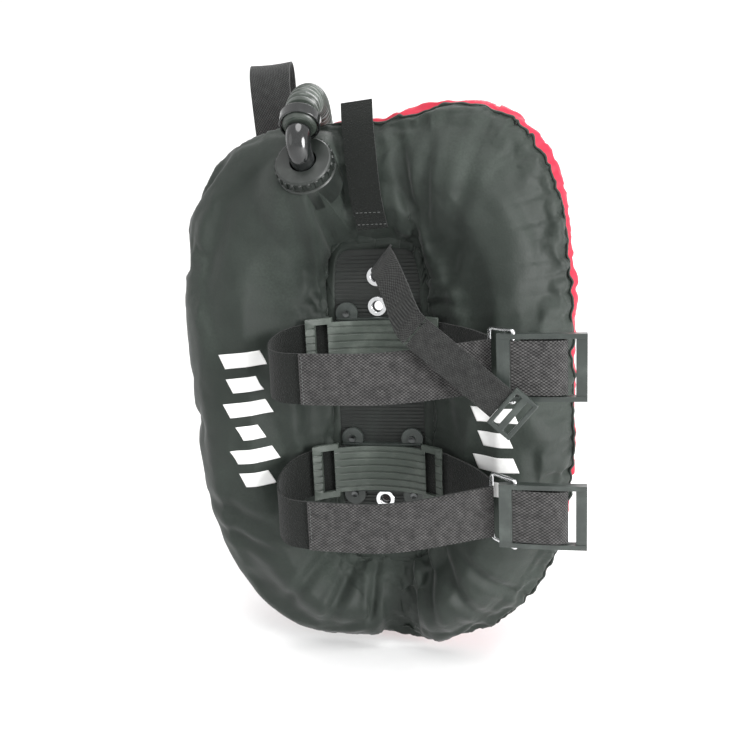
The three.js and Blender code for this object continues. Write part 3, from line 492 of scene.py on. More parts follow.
# %% Hose route
HOSE_ROUTE = [Vector(point) for point in (
    (-0.052, -0.0776, 0.2881), (-0.0524, -0.071, 0.2965), (-0.053, -0.063, 0.3037),
    (-0.0537, -0.0541, 0.3096), (-0.0546, -0.0446, 0.3143), (-0.0557, -0.0345, 0.3177),
    (-0.0569, -0.0241, 0.32), (-0.0583, -0.0135, 0.321), (-0.0598, -0.0029, 0.3206),
    (-0.0614, 0.0075, 0.3189), (-0.0631, 0.0176, 0.3158), (-0.0649, 0.0273, 0.3116),
    (-0.0666, 0.0363, 0.3062), (-0.0681, 0.0446, 0.2995), (-0.0693, 0.052, 0.2919),
    (-0.0704, 0.0583, 0.2833), (-0.0712, 0.0637, 0.2741), (-0.0718, 0.068, 0.2643),
    (-0.0721, 0.0714, 0.2541), (-0.0722, 0.074, 0.2438), (-0.0721, 0.0759, 0.2332),
    (-0.0719, 0.0772, 0.2226), (-0.0716, 0.0782, 0.2119), (-0.0712, 0.0788, 0.2012),
    (-0.0709, 0.0791, 0.1905), (-0.0705, 0.0794, 0.1798), (-0.0702, 0.0795, 0.1691),
    (-0.07, 0.0795, 0.1584), (-0.0697, 0.0795, 0.1477), (-0.0695, 0.0795, 0.137),
    (-0.0693, 0.0795, 0.1263), (-0.0692, 0.0795, 0.1156), (-0.0691, 0.0795, 0.1049),
    (-0.069, 0.0795, 0.0941), (-0.069, 0.0795, 0.0834), (-0.069, 0.0795, 0.0727),
    (-0.069, 0.0795, 0.062),
)]
HOSE_LENGTH = sum((b - a).length for a, b in zip(HOSE_ROUTE, HOSE_ROUTE[1:]))
print("hose route is", round(HOSE_LENGTH, 4), "m long")

# %% Hose
HOSE_RADIUS = 0.017
HOSE_VALLEY = 0.0138
RING_PITCH = 0.0085
HOSE_SIDES = 36


def along_route(route, distance):
    """The point and direction at a distance along a route."""
    for a, b in zip(route, route[1:]):
        step = (b - a).length
        if distance <= step or b is route[-1]:
            return a.lerp(b, distance / step), (b - a).normalized()
        distance -= step


def tube_along(stations):
    """Rings of (centre, direction, radius), each extruded from the one before."""
    bm = bmesh.new()
    first = bmesh.ops.create_circle(bm, segments=HOSE_SIDES, radius=1.0, cap_ends=True)["verts"]
    place_ring(first, *stations[0])
    edges = bm.edges[:]
    for station in stations[1:]:
        grown = bmesh.ops.extrude_edge_only(bm, edges=edges)["geom"]
        ring = [item for item in grown if isinstance(item, bmesh.types.BMVert)]
        fresh = set(ring)
        edges = [item for item in grown
                 if isinstance(item, bmesh.types.BMEdge) and fresh.issuperset(item.verts)]
        reset_ring(ring, *station)
    bmesh.ops.contextual_create(bm, geom=edges)
    bmesh.ops.recalc_face_normals(bm, faces=bm.faces)
    return bm


def place_ring(verts, centre, direction, radius):
    for vert in verts:
        angle = math.atan2(vert.co.y, vert.co.x)
        vert.co = ring_point(angle, centre, direction, radius)


def ring_point(angle, centre, direction, radius):
    across = (Vector((1, 0, 0)) - direction * direction.x).normalized()
    upward = direction.cross(across)
    return centre + (across * math.cos(angle) + upward * math.sin(angle)) * radius


def reset_ring(verts, centre, direction, radius):
    middle = sum((vert.co for vert in verts), Vector()) / len(verts)
    spans = [vert.co - middle for vert in verts]
    normal = spans[0].cross(spans[len(spans) // 4]).normalized()
    if normal.dot(direction) < 0:
        normal = -normal
    turn = normal.rotation_difference(direction)
    for vert, span in zip(verts, spans):
        vert.co = centre + (turn @ span).normalized() * radius


stations = []
ring_count = int(HOSE_LENGTH / RING_PITCH)
for ring in range(ring_count):
    for share, radius in ((0.0, HOSE_VALLEY), (0.22, HOSE_VALLEY), (0.38, HOSE_RADIUS - 0.0003),
                          (0.6, HOSE_RADIUS), (0.84, HOSE_RADIUS - 0.0003)):
        distance = (ring + share) * HOSE_LENGTH / ring_count
        stations.append((*along_route(HOSE_ROUTE, distance), radius))
stations.append((*along_route(HOSE_ROUTE, HOSE_LENGTH), HOSE_VALLEY))
bm = tube_along(stations)
hose = settle("corrugated_hose", bm, HOSE_RUBBER, "vest", ("inflation_hose",), 60.0)
print("hose has", ring_count, "rings and", len(hose.data.polygons), "faces")

# %% [markdown]
# ## The inflated wing
# The shell is two sheets of cloth sewn round the rim and round the middle window, with air pushing
# them apart. Cloth that has nowhere to go near a seam gathers into small puckers. The recipe is the
# real one: take the smooth shape, rebuild it as an even mesh, give the cloth a little more size
# than the seam lets it have, and blow it up for a few frames.

# %% Even mesh of the wing
VOXEL = 0.005
bm = borrow("wing_front_skin", "wing_back_skin", "air_bladder")
wing_form = link_mesh("wing_form", bm)
even = wing_form.modifiers.new("even_mesh", "REMESH")
even.mode = "VOXEL"
even.voxel_size = VOXEL
even.adaptivity = 0.0
bpy.context.view_layer.update()
baked = bpy.data.meshes.new_from_object(wing_form.evaluated_get(bpy.context.evaluated_depsgraph_get()))
bpy.data.objects.remove(wing_form)
print("even mesh has", len(baked.vertices), "points")

# %% [markdown]
# The seam runs round the rim near the middle of the thickness, a little forward on the buckle side,
# where a strip of the red back sheet shows. It is held still while the cloth swells. The swelling
# is capped, so that the wing keeps its measured size.

# %% Blow the wing up
SEAM_BAND = 0.0045
SEAM_TILT = 0.10
SEAM_RISE = 0.030
WINDOW_RECESS = 0.004
WINDOW_SIDE = 0.065
WINDOW_TOP = 0.190
SEAM_BLEND = 0.05
SWELL_CAP = 0.0075
START_INSET = 0.0015
SPARE_CLOTH = -0.055


def seam_forward(place):
    """How far forward the seam runs: most at the buckle side and the top, and back at the window."""
    outside = max(abs(place.x) - WINDOW_SIDE, abs(place.z) - WINDOW_TOP, 0.0)
    share = min(1.0, outside / SEAM_BLEND)
    share = share * share * (3 - 2 * share)
    return share * (SEAM_TILT * place.x + SEAM_RISE * place.z) - (1 - share) * WINDOW_RECESS


def off_seam(place):
    return place.y + seam_forward(place)


def relax(bm, verts, rounds, factor=0.5):
    for _ in range(rounds):
        bmesh.ops.smooth_vert(
            bm, verts=verts, factor=factor, use_axis_x=True, use_axis_y=True, use_axis_z=True)


def smooth_mesh(mesh, rounds, factor=0.5):
    bm = bmesh.new()
    bm.from_mesh(mesh)
    relax(bm, bm.verts, rounds, factor)
    bm.to_mesh(mesh)
    bm.free()


smooth_mesh(baked, 3)
for vert in baked.vertices:
    vert.co = vert.co - vert.normal * START_INSET
start_places = [vert.co.copy() for vert in baked.vertices]
wing_cloth = bpy.data.objects.new("wing_cloth", baked)
bpy.context.scene.collection.objects.link(wing_cloth)
held = wing_cloth.vertex_groups.new(name="seam")
held.add([v.index for v in baked.vertices if abs(off_seam(v.co)) < SEAM_BAND], 1.0, "REPLACE")
cloth = wing_cloth.modifiers.new("air", "CLOTH")
cloth.settings.quality = 4
cloth.settings.use_pressure = True
cloth.settings.uniform_pressure_force = 4.0
cloth.settings.tension_stiffness = 25.0
cloth.settings.compression_stiffness = 25.0
cloth.settings.shear_stiffness = 8.0
cloth.settings.bending_stiffness = 0.15
cloth.settings.shrink_min = SPARE_CLOTH
cloth.settings.effector_weights.gravity = 0.0
cloth.settings.vertex_group_mass = "seam"
cloth.collision_settings.use_collision = False
cloth.point_cache.frame_start = 1
cloth.point_cache.frame_end = 20
for frame_number in range(1, 21):
    bpy.context.scene.frame_set(frame_number)
blown = bpy.data.meshes.new_from_object(wing_cloth.evaluated_get(bpy.context.evaluated_depsgraph_get()))
for vert, start in zip(blown.vertices, start_places):
    step = vert.co - start
    if step.length > SWELL_CAP:
        vert.co = start + step.normalized() * SWELL_CAP
bpy.data.objects.remove(wing_cloth)
bpy.context.scene.frame_set(1)
baked = blown
smooth_mesh(baked, 1, 0.4)
print("wing cloth has", len(baked.vertices), "points")

# %% [markdown]
# One subdivision gives the surface enough points for folds finer than the simulation's grid. The
# folds that gravity and the bands press into this wing are then laid in one by one: each is a short
# valley with a soft ridge on either side, and the rim gets a run of small gathers.

# %% Fold lines
FOLD_STRENGTH = 1.35
FOLDS = [
    ((0.031, 0.276), (0.050, 0.165), 0.010, 0.0040), ((0.066, 0.268), (0.058, 0.185), 0.009, 0.0030),
    ((0.120, 0.270), (0.082, 0.185), 0.013, 0.0028), ((0.100, 0.180), (0.070, 0.120), 0.011, 0.0024),
    ((-0.030, -0.172), (-0.062, -0.232), 0.010, 0.0040), ((-0.010, -0.174), (-0.020, -0.245), 0.008, 0.0045),
    ((0.042, -0.172), (0.064, -0.236), 0.010, 0.0040), ((0.064, -0.160), (0.108, -0.222), 0.010, 0.0036),
    ((0.088, -0.150), (0.142, -0.196), 0.009, 0.0030), ((-0.058, -0.165), (-0.106, -0.214), 0.010, 0.0030),
    ((0.024, -0.176), (0.034, -0.250), 0.007, 0.0036), ((-0.180, -0.098), (-0.095, -0.146), 0.013, 0.0034),
    ((-0.172, -0.132), (-0.110, -0.160), 0.010, 0.0026), ((-0.062, 0.215), (-0.066, 0.080), 0.016, 0.0026),
    ((-0.066, 0.060), (-0.072, -0.060), 0.014, 0.0024), ((0.066, 0.090), (0.078, -0.020), 0.013, 0.0026),
    ((0.008, -0.195), (0.020, -0.275), 0.030, 0.0085), ((0.120, 0.060), (0.160, 0.010), 0.020, 0.0026),
    ((0.085, 0.215), (0.130, 0.235), 0.018, 0.0026), ((-0.120, 0.180), (-0.100, 0.100), 0.024, 0.0022),
    ((0.165, 0.120), (0.120, 0.070), 0.016, 0.0022), ((-0.150, -0.190), (-0.085, -0.235), 0.020, 0.0030),
    ((0.150, 0.225), (0.180, 0.150), 0.014, 0.0024), ((-0.150, 0.215), (-0.184, 0.130), 0.014, 0.0022),
]


def fold_depth(x, z):
    """How far the folds press a point of the front in, negative on the ridges beside them."""
    depth = 0.0
    for (x0, z0), (x1, z1), width, deep in FOLDS:
        span_x, span_z = x1 - x0, z1 - z0
        length = math.hypot(span_x, span_z)
        share = ((x - x0) * span_x + (z - z0) * span_z) / length ** 2
        if not -0.2 < share < 1.2:
            continue
        bend = 0.25 * width * math.sin(3.0 * share + 40 * x0)
        across = (((x - x0) * span_z - (z - z0) * span_x) / length + bend) / width
        if abs(across) > 3:
            continue
        fade = max(0.0, 1 - (2 * share - 1) ** 2 / 1.9)
        valley = math.exp(-across ** 2 * 2)
        ridge = 0.45 * math.exp(-(abs(across) - 1.2) ** 2 * 2.2)
        depth += FOLD_STRENGTH * deep * fade * (valley - ridge)
    return depth


# The cloth is drawn up to the collar of the inflation port, like a tent round its pole.
PORT_PLACE = Vector((-0.052, -0.058, 0.250))
PORT_AXIS = Vector((0, -0.81915, 0.57358))
PORT_MOUTH = 0.030
PORT_SKIRT = 0.066


STRAP_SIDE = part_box("valve_strap_upper")[0].x - 0.002
STRAP_GAP = 0.010
DEEPEST_LIFT = 0.12


def port_lift(place):
    """How far the cloth is drawn along the port's axis, and nothing under the valve strap."""
    offset = place - PORT_PLACE
    along = offset.dot(PORT_AXIS)
    radius = (offset - PORT_AXIS * along).length
    share = min(1.0, max(0.0, (PORT_SKIRT - radius) / (PORT_SKIRT - PORT_MOUTH)))
    beside = min(1.0, max(0.0, (STRAP_SIDE - place.x) / STRAP_GAP))
    near = min(1.0, max(0.0, (along + DEEPEST_LIFT) / 0.04))
    return PORT_AXIS * max(0.0, 0.0022 - along) * share * share * (3 - 2 * share) * beside * near


print("folds:", len(FOLDS))

# %% Gathers and folds
GATHER_REACH = 0.026
GATHER_DEPTH = 0.0046

bm = bmesh.new()
bm.from_mesh(baked)
bmesh.ops.subdivide_edges(bm, edges=bm.edges, cuts=1, use_grid_fill=True, smooth=0.0)
relax(bm, bm.verts, 2)
bm.normal_update()
seam_points = [vert.co.copy() for vert in bm.verts if abs(off_seam(vert.co)) < 0.0016]
near_seam = KDTree(len(seam_points))
for index, point in enumerate(seam_points):
    near_seam.insert(point, index)
near_seam.balance()
moves = []
for vert in bm.verts:
    point, _, distance = near_seam.find(vert.co)
    angle = math.atan2(point.z - 0.02, point.x)
    radius = math.hypot(point.z - 0.02, point.x)
    run = angle * max(radius, 0.05)
    side = 3.0 if off_seam(vert.co) > 0 else 0.0
    wave = noise.noise(Vector((run * 62, side, 1.7))) + 0.55 * noise.noise(Vector((run * 135, side, 5.1)))
    gather = GATHER_DEPTH * wave * math.exp(-distance / GATHER_REACH)
    slack = 0.0011 * noise.noise(vert.co * 26) + 0.0004 * noise.noise(vert.co * 75)
    press = fold_depth(vert.co.x, vert.co.z) if vert.co.y < -0.004 else 0.0
    lift = port_lift(vert.co) if vert.co.y < -0.004 else Vector()
    vert.tag = lift.length > 0.001
    moves.append(vert.normal * (gather + slack - press) + lift)
for vert, move in zip(bm.verts, moves):
    vert.co += move
drawn = [vert for vert in bm.verts if vert.tag]
relax(bm, drawn, 5)
bm.normal_update()
wing_mesh = bpy.data.meshes.new("wing_whole")
bm.to_mesh(wing_mesh)
bm.free()
print("wing has", len(wing_mesh.polygons), "faces")

# %% [markdown]
# The two sheets are cut apart at the seam and given the thickness of coated cloth, so that
# each is a closed piece with its own colour.

# %% Two sheets
CLOTH_THICKNESS = 0.0012


def cloth_half(name, front, finish, replaced):
    bm = bmesh.new()
    bm.from_mesh(wing_mesh)
    for vert in bm.verts:
        vert.co.y += seam_forward(vert.co)
    cut = bmesh.ops.bisect_plane(
        bm, geom=bm.verts[:] + bm.edges[:] + bm.faces[:], plane_co=(0, 0, 0), plane_no=(0, 1, 0),
        clear_outer=front, clear_inner=not front,
    )
    for vert in bm.verts:
        vert.co.y -= seam_forward(vert.co)
    rim = [item for item in cut["geom_cut"] if isinstance(item, bmesh.types.BMEdge)]
    rim_points = [(a.co.copy(), b.co.copy()) for a, b in (edge.verts for edge in rim)]
    piece = settle(name, bm, finish, "vest", replaced, 180.0)
    wall = piece.modifiers.new("cloth_thickness", "SOLIDIFY")
    wall.thickness = CLOTH_THICKNESS
    wall.offset = -1.0
    return rim_points


seam_edges = cloth_half(
    "wing_front_cloth", True, BLACK_CLOTH, ("wing_front_skin", "air_bladder"),
)
cloth_half("wing_back_cloth", False, RED_CLOTH, ("wing_back_skin",))
print("seam has", len(seam_edges), "edges")

# %% [markdown]
# ## The rim tape
# The seam allowance is bound with a narrow tape. Where the cloth gathers, the tape waves with it.
# The seam's own edge is extruded outwards a few millimetres and then given a thickness.

# %% Rim tape
TAPE_REACH = 0.0024
TAPE_WAVE = 0.0013
TAPE_LEAN = 250
WING_ACROSS = 0.19
WING_TALL = 0.28
WING_CENTRE = 0.02


def outer_rim(edge):
    a, b = edge
    return abs(a.x) > 0.08 or abs(a.z) > 0.21


def outward_at(place):
    """The way the seam allowance points: away from the wing's middle, and forward as the seam is."""
    forward = -TAPE_LEAN * seam_forward(place)
    upward = (place.z - WING_CENTRE) / WING_TALL ** 2
    return Vector((place.x / WING_ACROSS ** 2, forward, upward)).normalized()


bm = bmesh.new()
for a, b in filter(outer_rim, seam_edges):
    bm.edges.new((bm.verts.new(a), bm.verts.new(b)))
bmesh.ops.remove_doubles(bm, verts=bm.verts, dist=2e-5)
for _ in range(2):
    bmesh.ops.smooth_vert(bm, verts=bm.verts, factor=0.5, use_axis_x=True, use_axis_z=True)
inner_verts = list(bm.verts)
grown = bmesh.ops.extrude_edge_only(bm, edges=bm.edges[:])["geom"]
for vert in (item for item in grown if isinstance(item, bmesh.types.BMVert)):
    outward = outward_at(vert.co)
    wave = noise.noise(vert.co * 70)
    vert.co += outward * (TAPE_REACH + TAPE_WAVE * noise.noise(vert.co * 110))
    vert.co.y += 0.0022 * wave
for vert in inner_verts:
    vert.co -= outward_at(vert.co) * 0.001
bmesh.ops.recalc_face_normals(bm, faces=bm.faces)
rim_tape = settle("wing_rim_tape", bm, BLACK_CLOTH, "vest", (), 180.0)
wall = rim_tape.modifiers.new("tape_thickness", "SOLIDIFY")
wall.thickness = 0.0016
wall.offset = 0.0
print("rim tape has", len(rim_tape.data.polygons), "faces")

# %% [markdown]
# Round the middle window the same allowance turns inwards and laps over the rubber panel's edge, so
# that no daylight shows between them.

# %% Window lap
LAP_OVER = 0.005
LAP_SQUARENESS = 8
lap_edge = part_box("centre_panel")[1] - Vector((LAP_OVER, 0, LAP_OVER))

bm = bmesh.new()
for a, b in seam_edges:
    if not outer_rim((a, b)):
        bm.edges.new((bm.verts.new(a), bm.verts.new(b)))
bmesh.ops.remove_doubles(bm, verts=bm.verts, dist=2e-5)
for reach, y in ((0.35, 0.0012), (0.60, -0.0008), (1.0, -0.0010)):
    free = [edge for edge in bm.edges
            if edge.is_wire or edge.is_boundary and not any(vert.tag for vert in edge.verts)]
    grown = bmesh.ops.extrude_edge_only(bm, edges=free)["geom"]
    fresh = [item for item in grown if isinstance(item, bmesh.types.BMVert)]
    for vert in bm.verts:
        vert.tag = True
    for vert in fresh:
        vert.tag = False
        powers = [abs(vert.co[axis] / lap_edge[axis]) ** LAP_SQUARENESS for axis in (0, 2)]
        beyond = sum(powers) ** (1 / LAP_SQUARENESS)
        vert.co.x += (vert.co.x / beyond - vert.co.x) * reach
        vert.co.z += (vert.co.z / beyond - vert.co.z) * reach
        vert.co.y = y
bmesh.ops.recalc_face_normals(bm, faces=bm.faces)
lap = settle("window_lap", bm, BLACK_CLOTH, "vest", (), 180.0)
wall = lap.modifiers.new("lap_thickness", "SOLIDIFY")
wall.thickness = 0.0010
wall.offset = 0.0
print("window lap has", len(lap.data.polygons), "faces")

# %% [markdown]
# ## Printed marks
# Each lobe carries a column of plain white printed bars. A print lies in the cloth, so each bar is a
# fine grid that is dropped onto the wing's surface along Y.

# %% Marks
PRINT_LIFT = 0.0004
wing_tree = BVHTree.FromPolygons([v.co for v in wing_mesh.vertices], [p.vertices for p in wing_mesh.polygons])


def on_wing(x, z, lift=PRINT_LIFT):
    hit = wing_tree.ray_cast(Vector((x, -0.3, z)), Vector((0, 1, 0)))
    return hit[0] + hit[1] * lift


def printed_bar(name, middle_x, middle_z, width, height, slant, lean):
    """A white bar with slanted ends, its long side across the lobe."""
    bm = bmesh.new()
    bmesh.ops.create_grid(bm, x_segments=24, y_segments=10, size=0.5)
    for vert in bm.verts:
        across = vert.co.x * width + vert.co.y * slant
        down = vert.co.y * height
        x = middle_x + across * math.cos(lean) - down * math.sin(lean)
        z = middle_z - across * math.sin(lean) - down * math.cos(lean)
        vert.co = on_wing(x, z)
    bm.normal_update()
    if sum(face.normal.y for face in bm.faces) > 0:
        bmesh.ops.reverse_faces(bm, faces=bm.faces)
    piece = settle(name, bm, WHITE_PRINT, "vest", (), 180.0)
    wall = piece.modifiers.new("ink_thickness", "SOLIDIFY")
    wall.thickness = 0.0003
    wall.offset = -1.0
    return piece


BAR_WIDTHS = (0.042, 0.030, 0.042, 0.022, 0.042, 0.030)
BAR_HEIGHT = 0.0155
BAR_SLANT = 0.006
BAR_PITCH = 0.0262
PRINT_COLUMNS = (
    ("left", -0.136, 0.0013, 0.060, BAR_WIDTHS, math.radians(-4.0)),
    ("right", 0.127, 0.0, 0.004, BAR_WIDTHS[:4], 0.0),
)
for side, column_x, drift, column_top, widths, lean in PRINT_COLUMNS:
    for index, width in enumerate(widths):
        printed_bar(f"{side}_print_{index + 1}", column_x + drift * index, column_top - BAR_PITCH * index,
                    width, BAR_HEIGHT, BAR_SLANT, lean)
print("printed columns:", len(PRINT_COLUMNS))

# %% [markdown]
# ## Bands, straps and belts
# Webbing is stiff enough to hold a curve and thin enough to fold flat. The engineering sweeps have
# the right line but straight facets, so each copy is joined into four-sided faces, its long edges
# are creased and a subdivision surface rounds the line without thinning the strap.

# %% Softening a strap
CREASE_ANGLE = math.radians(50.0)


def softened(name, node, finish, levels=2):
    bm = borrow(node)
    bmesh.ops.join_triangles(
        bm, faces=bm.faces, angle_face_threshold=math.radians(40), angle_shape_threshold=math.radians(180),
        cmp_seam=False, cmp_sharp=False, cmp_uvs=False, cmp_vcols=False, cmp_materials=False,
    )
    crease = bm.edges.layers.float.new("crease_edge")
    bm.normal_update()
    for edge in bm.edges:
        if len(edge.link_faces) == 2 and edge.calc_face_angle() > CREASE_ANGLE:
            edge[crease] = 1.0
    piece = settle(name, bm, finish, BODY_OF[node], (node,), 40.0)
    soft = piece.modifiers.new("soft_line", "SUBSURF")
    soft.levels = levels
    soft.render_levels = levels
    return piece


for side in ("upper", "lower"):
    softened(f"{side}_band_inner", f"cam_band_{side}", LOOP_TAPE)
    softened(f"{side}_band_outer", f"cam_band_tail_{side}", BAND_WEBBING)
    softened(f"{side}_slack_loop", f"slack_webbing_{side}", BAND_WEBBING)
softened("valley_strap", "valve_strap_upper", LOOP_TAPE)
softened("falling_strap", "valve_strap_front", FALL_WEBBING)
softened("falling_strap_tail", "valve_strap_tail", FALL_WEBBING)
for side in ("left", "right"):
    softened(f"{side}_shoulder_webbing", f"shoulder_strap_{side}", STRAP_WEBBING)
    softened(f"{side}_waist_webbing", f"waist_belt_{side}", BAND_WEBBING)
print("straps: 13")

# %% [markdown]
# Bands are held together by rows of heavy thread. One stitch is a small rounded bar. A run of them
# is laid between two points, each dropped onto the strap beneath it and turned to lie along it.

# %% Stitching
STITCH_LENGTH = 0.0030
STITCH_PITCH = 0.0042
STITCH_RADIUS = 0.00035
THREAD = hard("sewing_thread", (0.080, 0.085, 0.082), (0.150, 0.155, 0.150), 0.7)


def stitch_bar(bm, place, direction, outward):
    made = bmesh.ops.create_cube(bm, size=1.0)["verts"]
    across = direction.cross(outward).normalized()
    outward = across.cross(direction).normalized()
    for vert in made:
        taper = 1.0 if vert.co.z < 0 else 0.6
        along = direction * (vert.co.x * STITCH_LENGTH * taper)
        sideways = across * (vert.co.y * 2 * STITCH_RADIUS * taper)
        vert.co = place + along + sideways + outward * (vert.co.z * 2 * STITCH_RADIUS)


def stitch_runs(name, host, runs, ray, body, lift=0.0002):
    """Rows of stitches between pairs of points, dropped along a ray onto a host piece."""
    depsgraph = bpy.context.evaluated_depsgraph_get()
    tree = BVHTree.FromObject(host, depsgraph)
    bm = bmesh.new()
    for start, end in runs:
        start, end = Vector(start), Vector(end)
        count = max(2, int((end - start).length / STITCH_PITCH))
        for index in range(count):
            here = start.lerp(end, (index + 0.5) / count)
            hit = tree.ray_cast(here - ray * 0.05, ray)
            ahead = tree.ray_cast(here + (end - start).normalized() * 0.001 - ray * 0.05, ray)
            if hit[0] is None or ahead[0] is None:
                continue
            outward = hit[1] if hit[1].dot(ray) < 0 else -hit[1]
            stitch_bar(bm, hit[0] + outward * lift, (ahead[0] - hit[0]).normalized(), outward)
    return settle(name, bm, THREAD, body, (), 60.0)


AWAY = Vector((0, 1, 0))


bpy.context.view_layer.update()
for side in ("upper", "lower"):
    host = bpy.data.objects[f"{side}_band_outer"]
    low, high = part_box(f"cam_band_tail_{side}")
    left = low.x + 0.003
    end_run = [((left, -0.115, high.z - 0.062), (left, -0.115, high.z - 0.004))]
    stitch_runs(f"{side}_band_end_stitches", host, end_run, AWAY, "vest")
hem_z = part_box("valve_strap_upper")[0].z + 0.006
hem_runs = [((-0.014, -0.05, height), (0.018, -0.05, height)) for height in (hem_z, hem_z + 0.012)]
stitch_runs("valley_hem_stitches", bpy.data.objects["valley_strap"], hem_runs, AWAY, "vest")
print("stitching laid")

# %% [markdown]
# ## The ribbed centre panel and the cradles
# The panel is a rubber sheet moulded with fine level ribs, and the saddles that hold the cylinder
# have a few wide grooves that run with the band. Grooves are cut the way a gouge cuts them: the face
# is split along two close lines, and the strip between them is pushed in.

# %% Grooved copies


def grooved(name, node, heights, width, depth, finish, bevel_width, margin=0.0):
    bm = borrow(node)
    bmesh.ops.dissolve_limit(bm, angle_limit=FLAT_ANGLE, verts=bm.verts, edges=bm.edges)
    low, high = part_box(node)
    for height in heights:
        for edge_z in (height - width / 2, height + width / 2):
            bmesh.ops.bisect_plane(
                bm, geom=bm.verts[:] + bm.edges[:] + bm.faces[:], plane_co=(0, 0, edge_z), plane_no=(0, 0, 1))
    if margin:
        for edge_x in (low.x + margin, high.x - margin):
            bmesh.ops.bisect_plane(
                bm, geom=bm.verts[:] + bm.edges[:] + bm.faces[:], plane_co=(edge_x, 0, 0), plane_no=(1, 0, 0))
    bm.normal_update()
    strips = []
    for face in bm.faces:
        middle = face.calc_center_median()
        in_groove = any(abs(middle.z - height) < width * 0.45 for height in heights)
        inside = low.x + margin <= middle.x <= high.x - margin
        if face.normal.y < -0.7 and in_groove and inside:
            strips.append(face)
    pressed = bmesh.ops.extrude_face_region(bm, geom=strips)["geom"]
    floor_verts = [item for item in pressed if isinstance(item, bmesh.types.BMVert)]
    bmesh.ops.translate(bm, verts=floor_verts, vec=(0, depth, 0))
    bmesh.ops.delete(bm, geom=[face for face in strips if face.is_valid], context="FACES_ONLY")
    piece = settle(name, bm, finish, BODY_OF[node], (node,), 35.0)
    bevel = piece.modifiers.new("worn_edges", "BEVEL")
    bevel.width = bevel_width
    bevel.segments = 1
    bevel.limit_method = "ANGLE"
    bevel.angle_limit = math.radians(40)
    return piece


RIB_PITCH = 0.0040
low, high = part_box("centre_panel")
rib_count = int((high.z - low.z - 0.012) / RIB_PITCH)
rib_heights = [low.z + 0.007 + RIB_PITCH * index for index in range(rib_count)]
grooved("ribbed_panel", "centre_panel", rib_heights, 0.0014, 0.0007, PANEL_RUBBER,
        0.0002, 0.006)
for side in ("upper", "lower"):
    low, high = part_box(f"cradle_saddle_{side}")
    middle = (low.z + high.z) / 2
    saddle_heights = [middle + step * 0.0078 for step in (-2.5, -1.5, -0.5, 0.5, 1.5, 2.5)]
    grooved(f"{side}_saddle", f"cradle_saddle_{side}", saddle_heights, 0.0018, 0.0013, SADDLE_RUBBER,
            0.0004)
    rounded(f"{side}_cradle_foot", f"cradle_base_{side}", BUCKLE_PLASTIC, 0.0006)
print("ribs on the panel:", rib_count)

# %% Cradle screws
SOCKET_RADIUS = 0.0016


def turned_about(axis, degrees):
    return Quaternion(axis, math.radians(degrees)).to_matrix()


for side in ("upper", "lower"):
    for number in range(1, 5):
        node = f"cradle_screw_{side}_{number}"
        low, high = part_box(node)
        middle = (low + high) / 2
        radius = (high.x - low.x) / 2
        bm = bmesh.new()
        bmesh.ops.create_cone(
            bm, cap_ends=True, segments=24, radius1=radius, radius2=radius, depth=high.y - low.y)
        bmesh.ops.rotate(bm, verts=bm.verts, cent=(0, 0, 0), matrix=turned_about((1, 0, 0), 90))
        bmesh.ops.translate(bm, verts=bm.verts, vec=middle)
        cap = min((f for f in bm.faces if len(f.verts) > 4), key=lambda f: f.calc_center_median().y)
        bmesh.ops.inset_region(bm, faces=[cap], thickness=radius - SOCKET_RADIUS, use_even_offset=True)
        bmesh.ops.translate(bm, verts=cap.verts, vec=(0, 0.0012, 0))
        bmesh.ops.bevel(
            bm, geom=[e for e in bm.edges if e.is_manifold and e.calc_face_angle() > 1.2], offset=0.0003,
            segments=2, profile=0.5, affect="EDGES", material=-1,
        )
        settle(f"{side}_screw_{number}", bm, DARK_STEEL, "vest", (node,), 40.0)
for name in ("top", "upper", "lower", "bottom"):
    rounded(f"{name}_eyelet", f"grommet_{name}", STEEL, 0.0004, 2, 30.0, 60.0)
print("screws: 8, eyelets: 4")

# %% [markdown]
# ## Over-centre buckles
# Each buckle is a moulded lever that turns in a bent wire bail. The lever's two rails are ribbed on
# top, where a thumb pushes, and the wire is bright.

# %% Levers and bails
RIB_BARS = 5
for side in ("upper", "lower"):
    lever_body = BODY_OF[f"cam_lever_{side}"]
    rounded(f"{side}_lever", f"cam_lever_{side}", BUCKLE_PLASTIC, 0.0008, 3, 25.0)
    low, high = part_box(f"cam_lever_{side}")
    bm = bmesh.new()
    for rail_z in (low.z + 0.0023, high.z - 0.0023):
        for index in range(RIB_BARS):
            made = bmesh.ops.create_cube(bm, size=1.0)["verts"]
            for vert in made:
                vert.co = Vector((
                    low.x + 0.028 + 0.0085 * index + vert.co.x * 0.0016,
                    low.y + 0.0016 + vert.co.y * 0.0012,
                    rail_z + vert.co.z * 0.0036,
                ))
    bmesh.ops.bevel(bm, geom=bm.edges[:], offset=0.0003, segments=1, profile=0.5, affect="EDGES", material=-1)
    settle(f"{side}_lever_ribs", bm, BUCKLE_PLASTIC, lever_body, (), 30.0)
    bail = borrow(f"bail_{side}")
    settle(f"{side}_wire_bail", bail, STEEL, "vest", (f"bail_{side}",), 80.0)
rounded("strap_triglide", "triglide", BUCKLE_PLASTIC, 0.0010, 3)
print("buckles: 2")

# %% [markdown]
# ## Port, elbow and inflator
# These are turned and moulded parts with a polished skin, so a small round on each edge is what
# makes them read as solid plastic.

